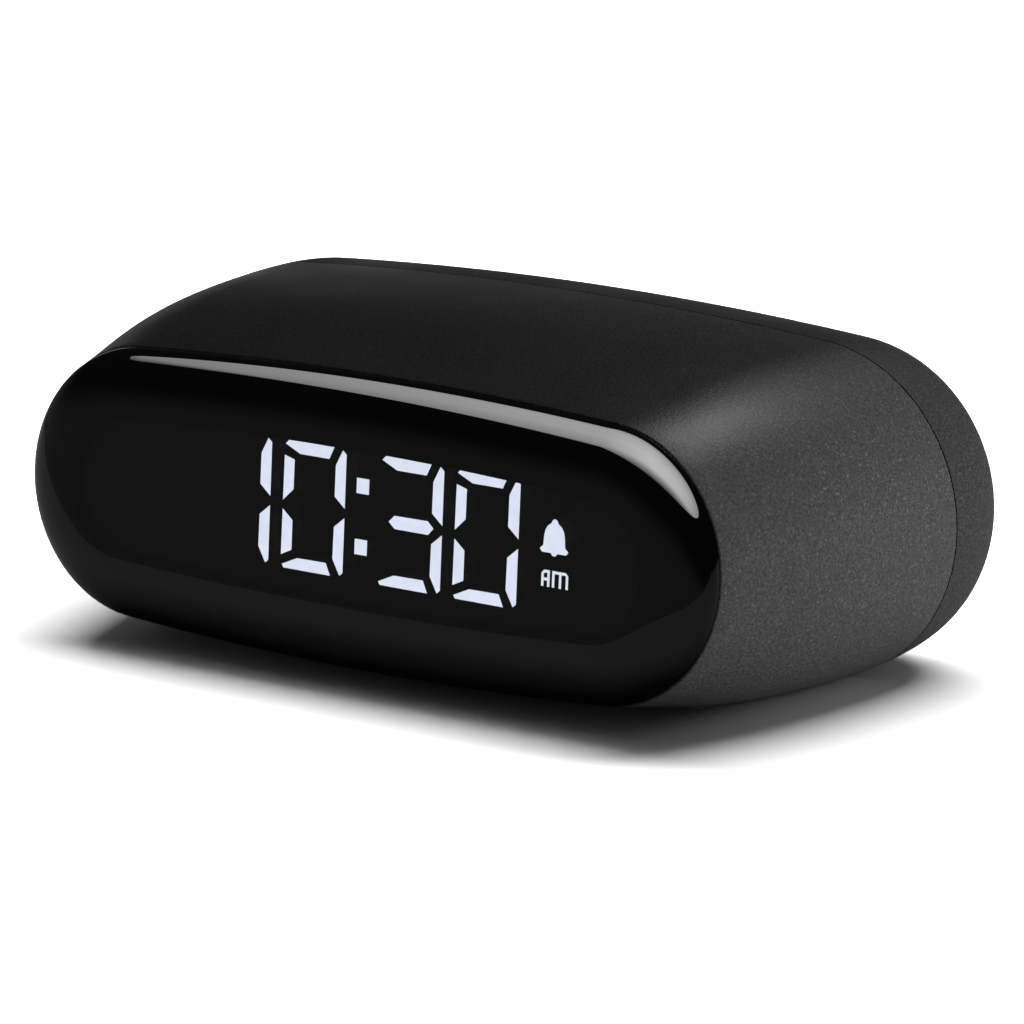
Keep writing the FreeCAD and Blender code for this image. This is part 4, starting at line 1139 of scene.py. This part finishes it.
def slider_tree():
    tree, given, result = new_tree("grooved_slider", SLIDER_SIZES)
    thick, corner, reach = given["Plate"], given["Corner"], given["Reach"]
    plate = slab(tree, given["Plate Width"], given["Plate Height"], corner, thick)
    plate = shift(tree, plate, X=given["Plate Shift"])
    low = times(tree, thick, 0.5)
    knob_height = given["Knob Height"]
    knob = slab(tree, given["Knob Width"], knob_height, corner, minus(tree, reach, low))
    knob = shift(tree, knob, Z=low)
    row = row_of(tree, given["Grooves"], given["Pitch"], "X", Z=reach)
    bar = rod(tree, GROOVE_SIDES, given["Groove"], times(tree, knob_height, 1.5))
    feeds = {"Mesh 1": knob, "Mesh 2": real_copies(tree, row, bar, TO_FRONT)}
    cut = make(tree, "MeshBoolean", feeds, operation="DIFFERENCE", solver="EXACT")
    set_out(tree, given, result, gather(tree, plate, cut), TO_REAR)
    return tree


slider = grow("slider", slider_tree(), {"Finish": key_plastic}, [SLIDER_AT])
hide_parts("alarm_slider")
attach(slider, "alarm_switch")

# %% [markdown]
# ## Smooth skins
# The solids arrive as loose triangles, which would show as facets in soft light. A copy
# with its doubles merged is shaded smooth, with its real corners kept sharp, and stands in for
# the solid. On the sleeve the edge round the opening is rounded off as well, because a moulded
# edge is never quite sharp and catches a thin line of light.

# %% Smooth copies
CORNER = math.radians(28)
RIM_Y = -18 * MM
FACES_FRONT = -0.9
FACES_OUT = 0.5
RIM_ROUND = 0.2 * MM
RIM_STEPS = 3
DOUBLES = 1e-6


def front_rim(work):
    """The outer edge of the opening: between the front face and the outer skin."""
    rim = []
    for edge in work.edges:
        if len(edge.link_faces) != 2 or edge.calc_face_angle(0.0) < CORNER:
            continue
        middle = (edge.verts[0].co + edge.verts[1].co) / 2
        away = Vector((middle.x, 0.0, middle.z - AXIS_Z))
        ahead = min(face.normal.y for face in edge.link_faces)
        outwards = max(face.normal.dot(away) / away.length for face in edge.link_faces)
        if middle.y < RIM_Y and ahead < FACES_FRONT and outwards > FACES_OUT:
            rim.append(edge)
    return rim


def smooth_copy(node):
    mesh = nodes[node].data.copy()
    name = node + "_skin"
    mesh.name = name
    work = bmesh.new()
    work.from_mesh(mesh)
    bmesh.ops.remove_doubles(work, verts=work.verts, dist=DOUBLES)
    if node == "housing_sleeve":
        rim = front_rim(work)
        print("edges of the front rim:", len(rim))
        bmesh.ops.bevel(work, geom=rim, offset=RIM_ROUND, segments=RIM_STEPS, profile=0.5,
                        affect="EDGES", clamp_overlap=True)
    for face in work.faces:
        face.smooth = True
    for edge in work.edges:
        edge.smooth = edge.is_manifold and edge.calc_face_angle(0.0) < CORNER
    work.to_mesh(mesh)
    work.free()
    return place(name, mesh)


SKINS = {
    "clock": ["housing_sleeve", "rear_cover", "buzzer", "cell_front", "cell_rear",
              "timing_crystal", "smoothing_capacitors"],
    "battery_door": ["battery_door"],
}
for body, members in SKINS.items():
    for node in members:
        skin = smooth_copy(node)
        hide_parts(node)
        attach(skin, body)
        print(skin.name, len(skin.data.polygons), "faces")

# %% [markdown]
# ## Which lamp lights what
# A studio hides one lamp from one surface with cards and flags. Light linking does the same. The
# ceiling softbox lights the window alone, and the back panel lights the paper alone. The other
# three panels skip both: their reflections would cross the black window, and their light would
# wash out the shadow on the paper.

# %% Light linking


def light_only(lamp, pieces, excluded=False):
    chosen = bpy.data.collections.new(lamp.name + "_chosen")
    for piece in pieces:
        chosen.objects.link(piece)
    for entry in chosen.collection_objects:
        entry.light_linking.link_state = "EXCLUDE" if excluded else "INCLUDE"
    lamp.light_linking.receiver_collection = chosen
    print(lamp.name, "skips" if excluded else "lights only", [piece.name for piece in pieces])


light_only(ceiling, [window])
light_only(lamps["back_panel"], [sheet])
for name in ("side_panel", "top_panel", "left_panel"):
    light_only(lamps[name], [window, sheet], excluded=True)
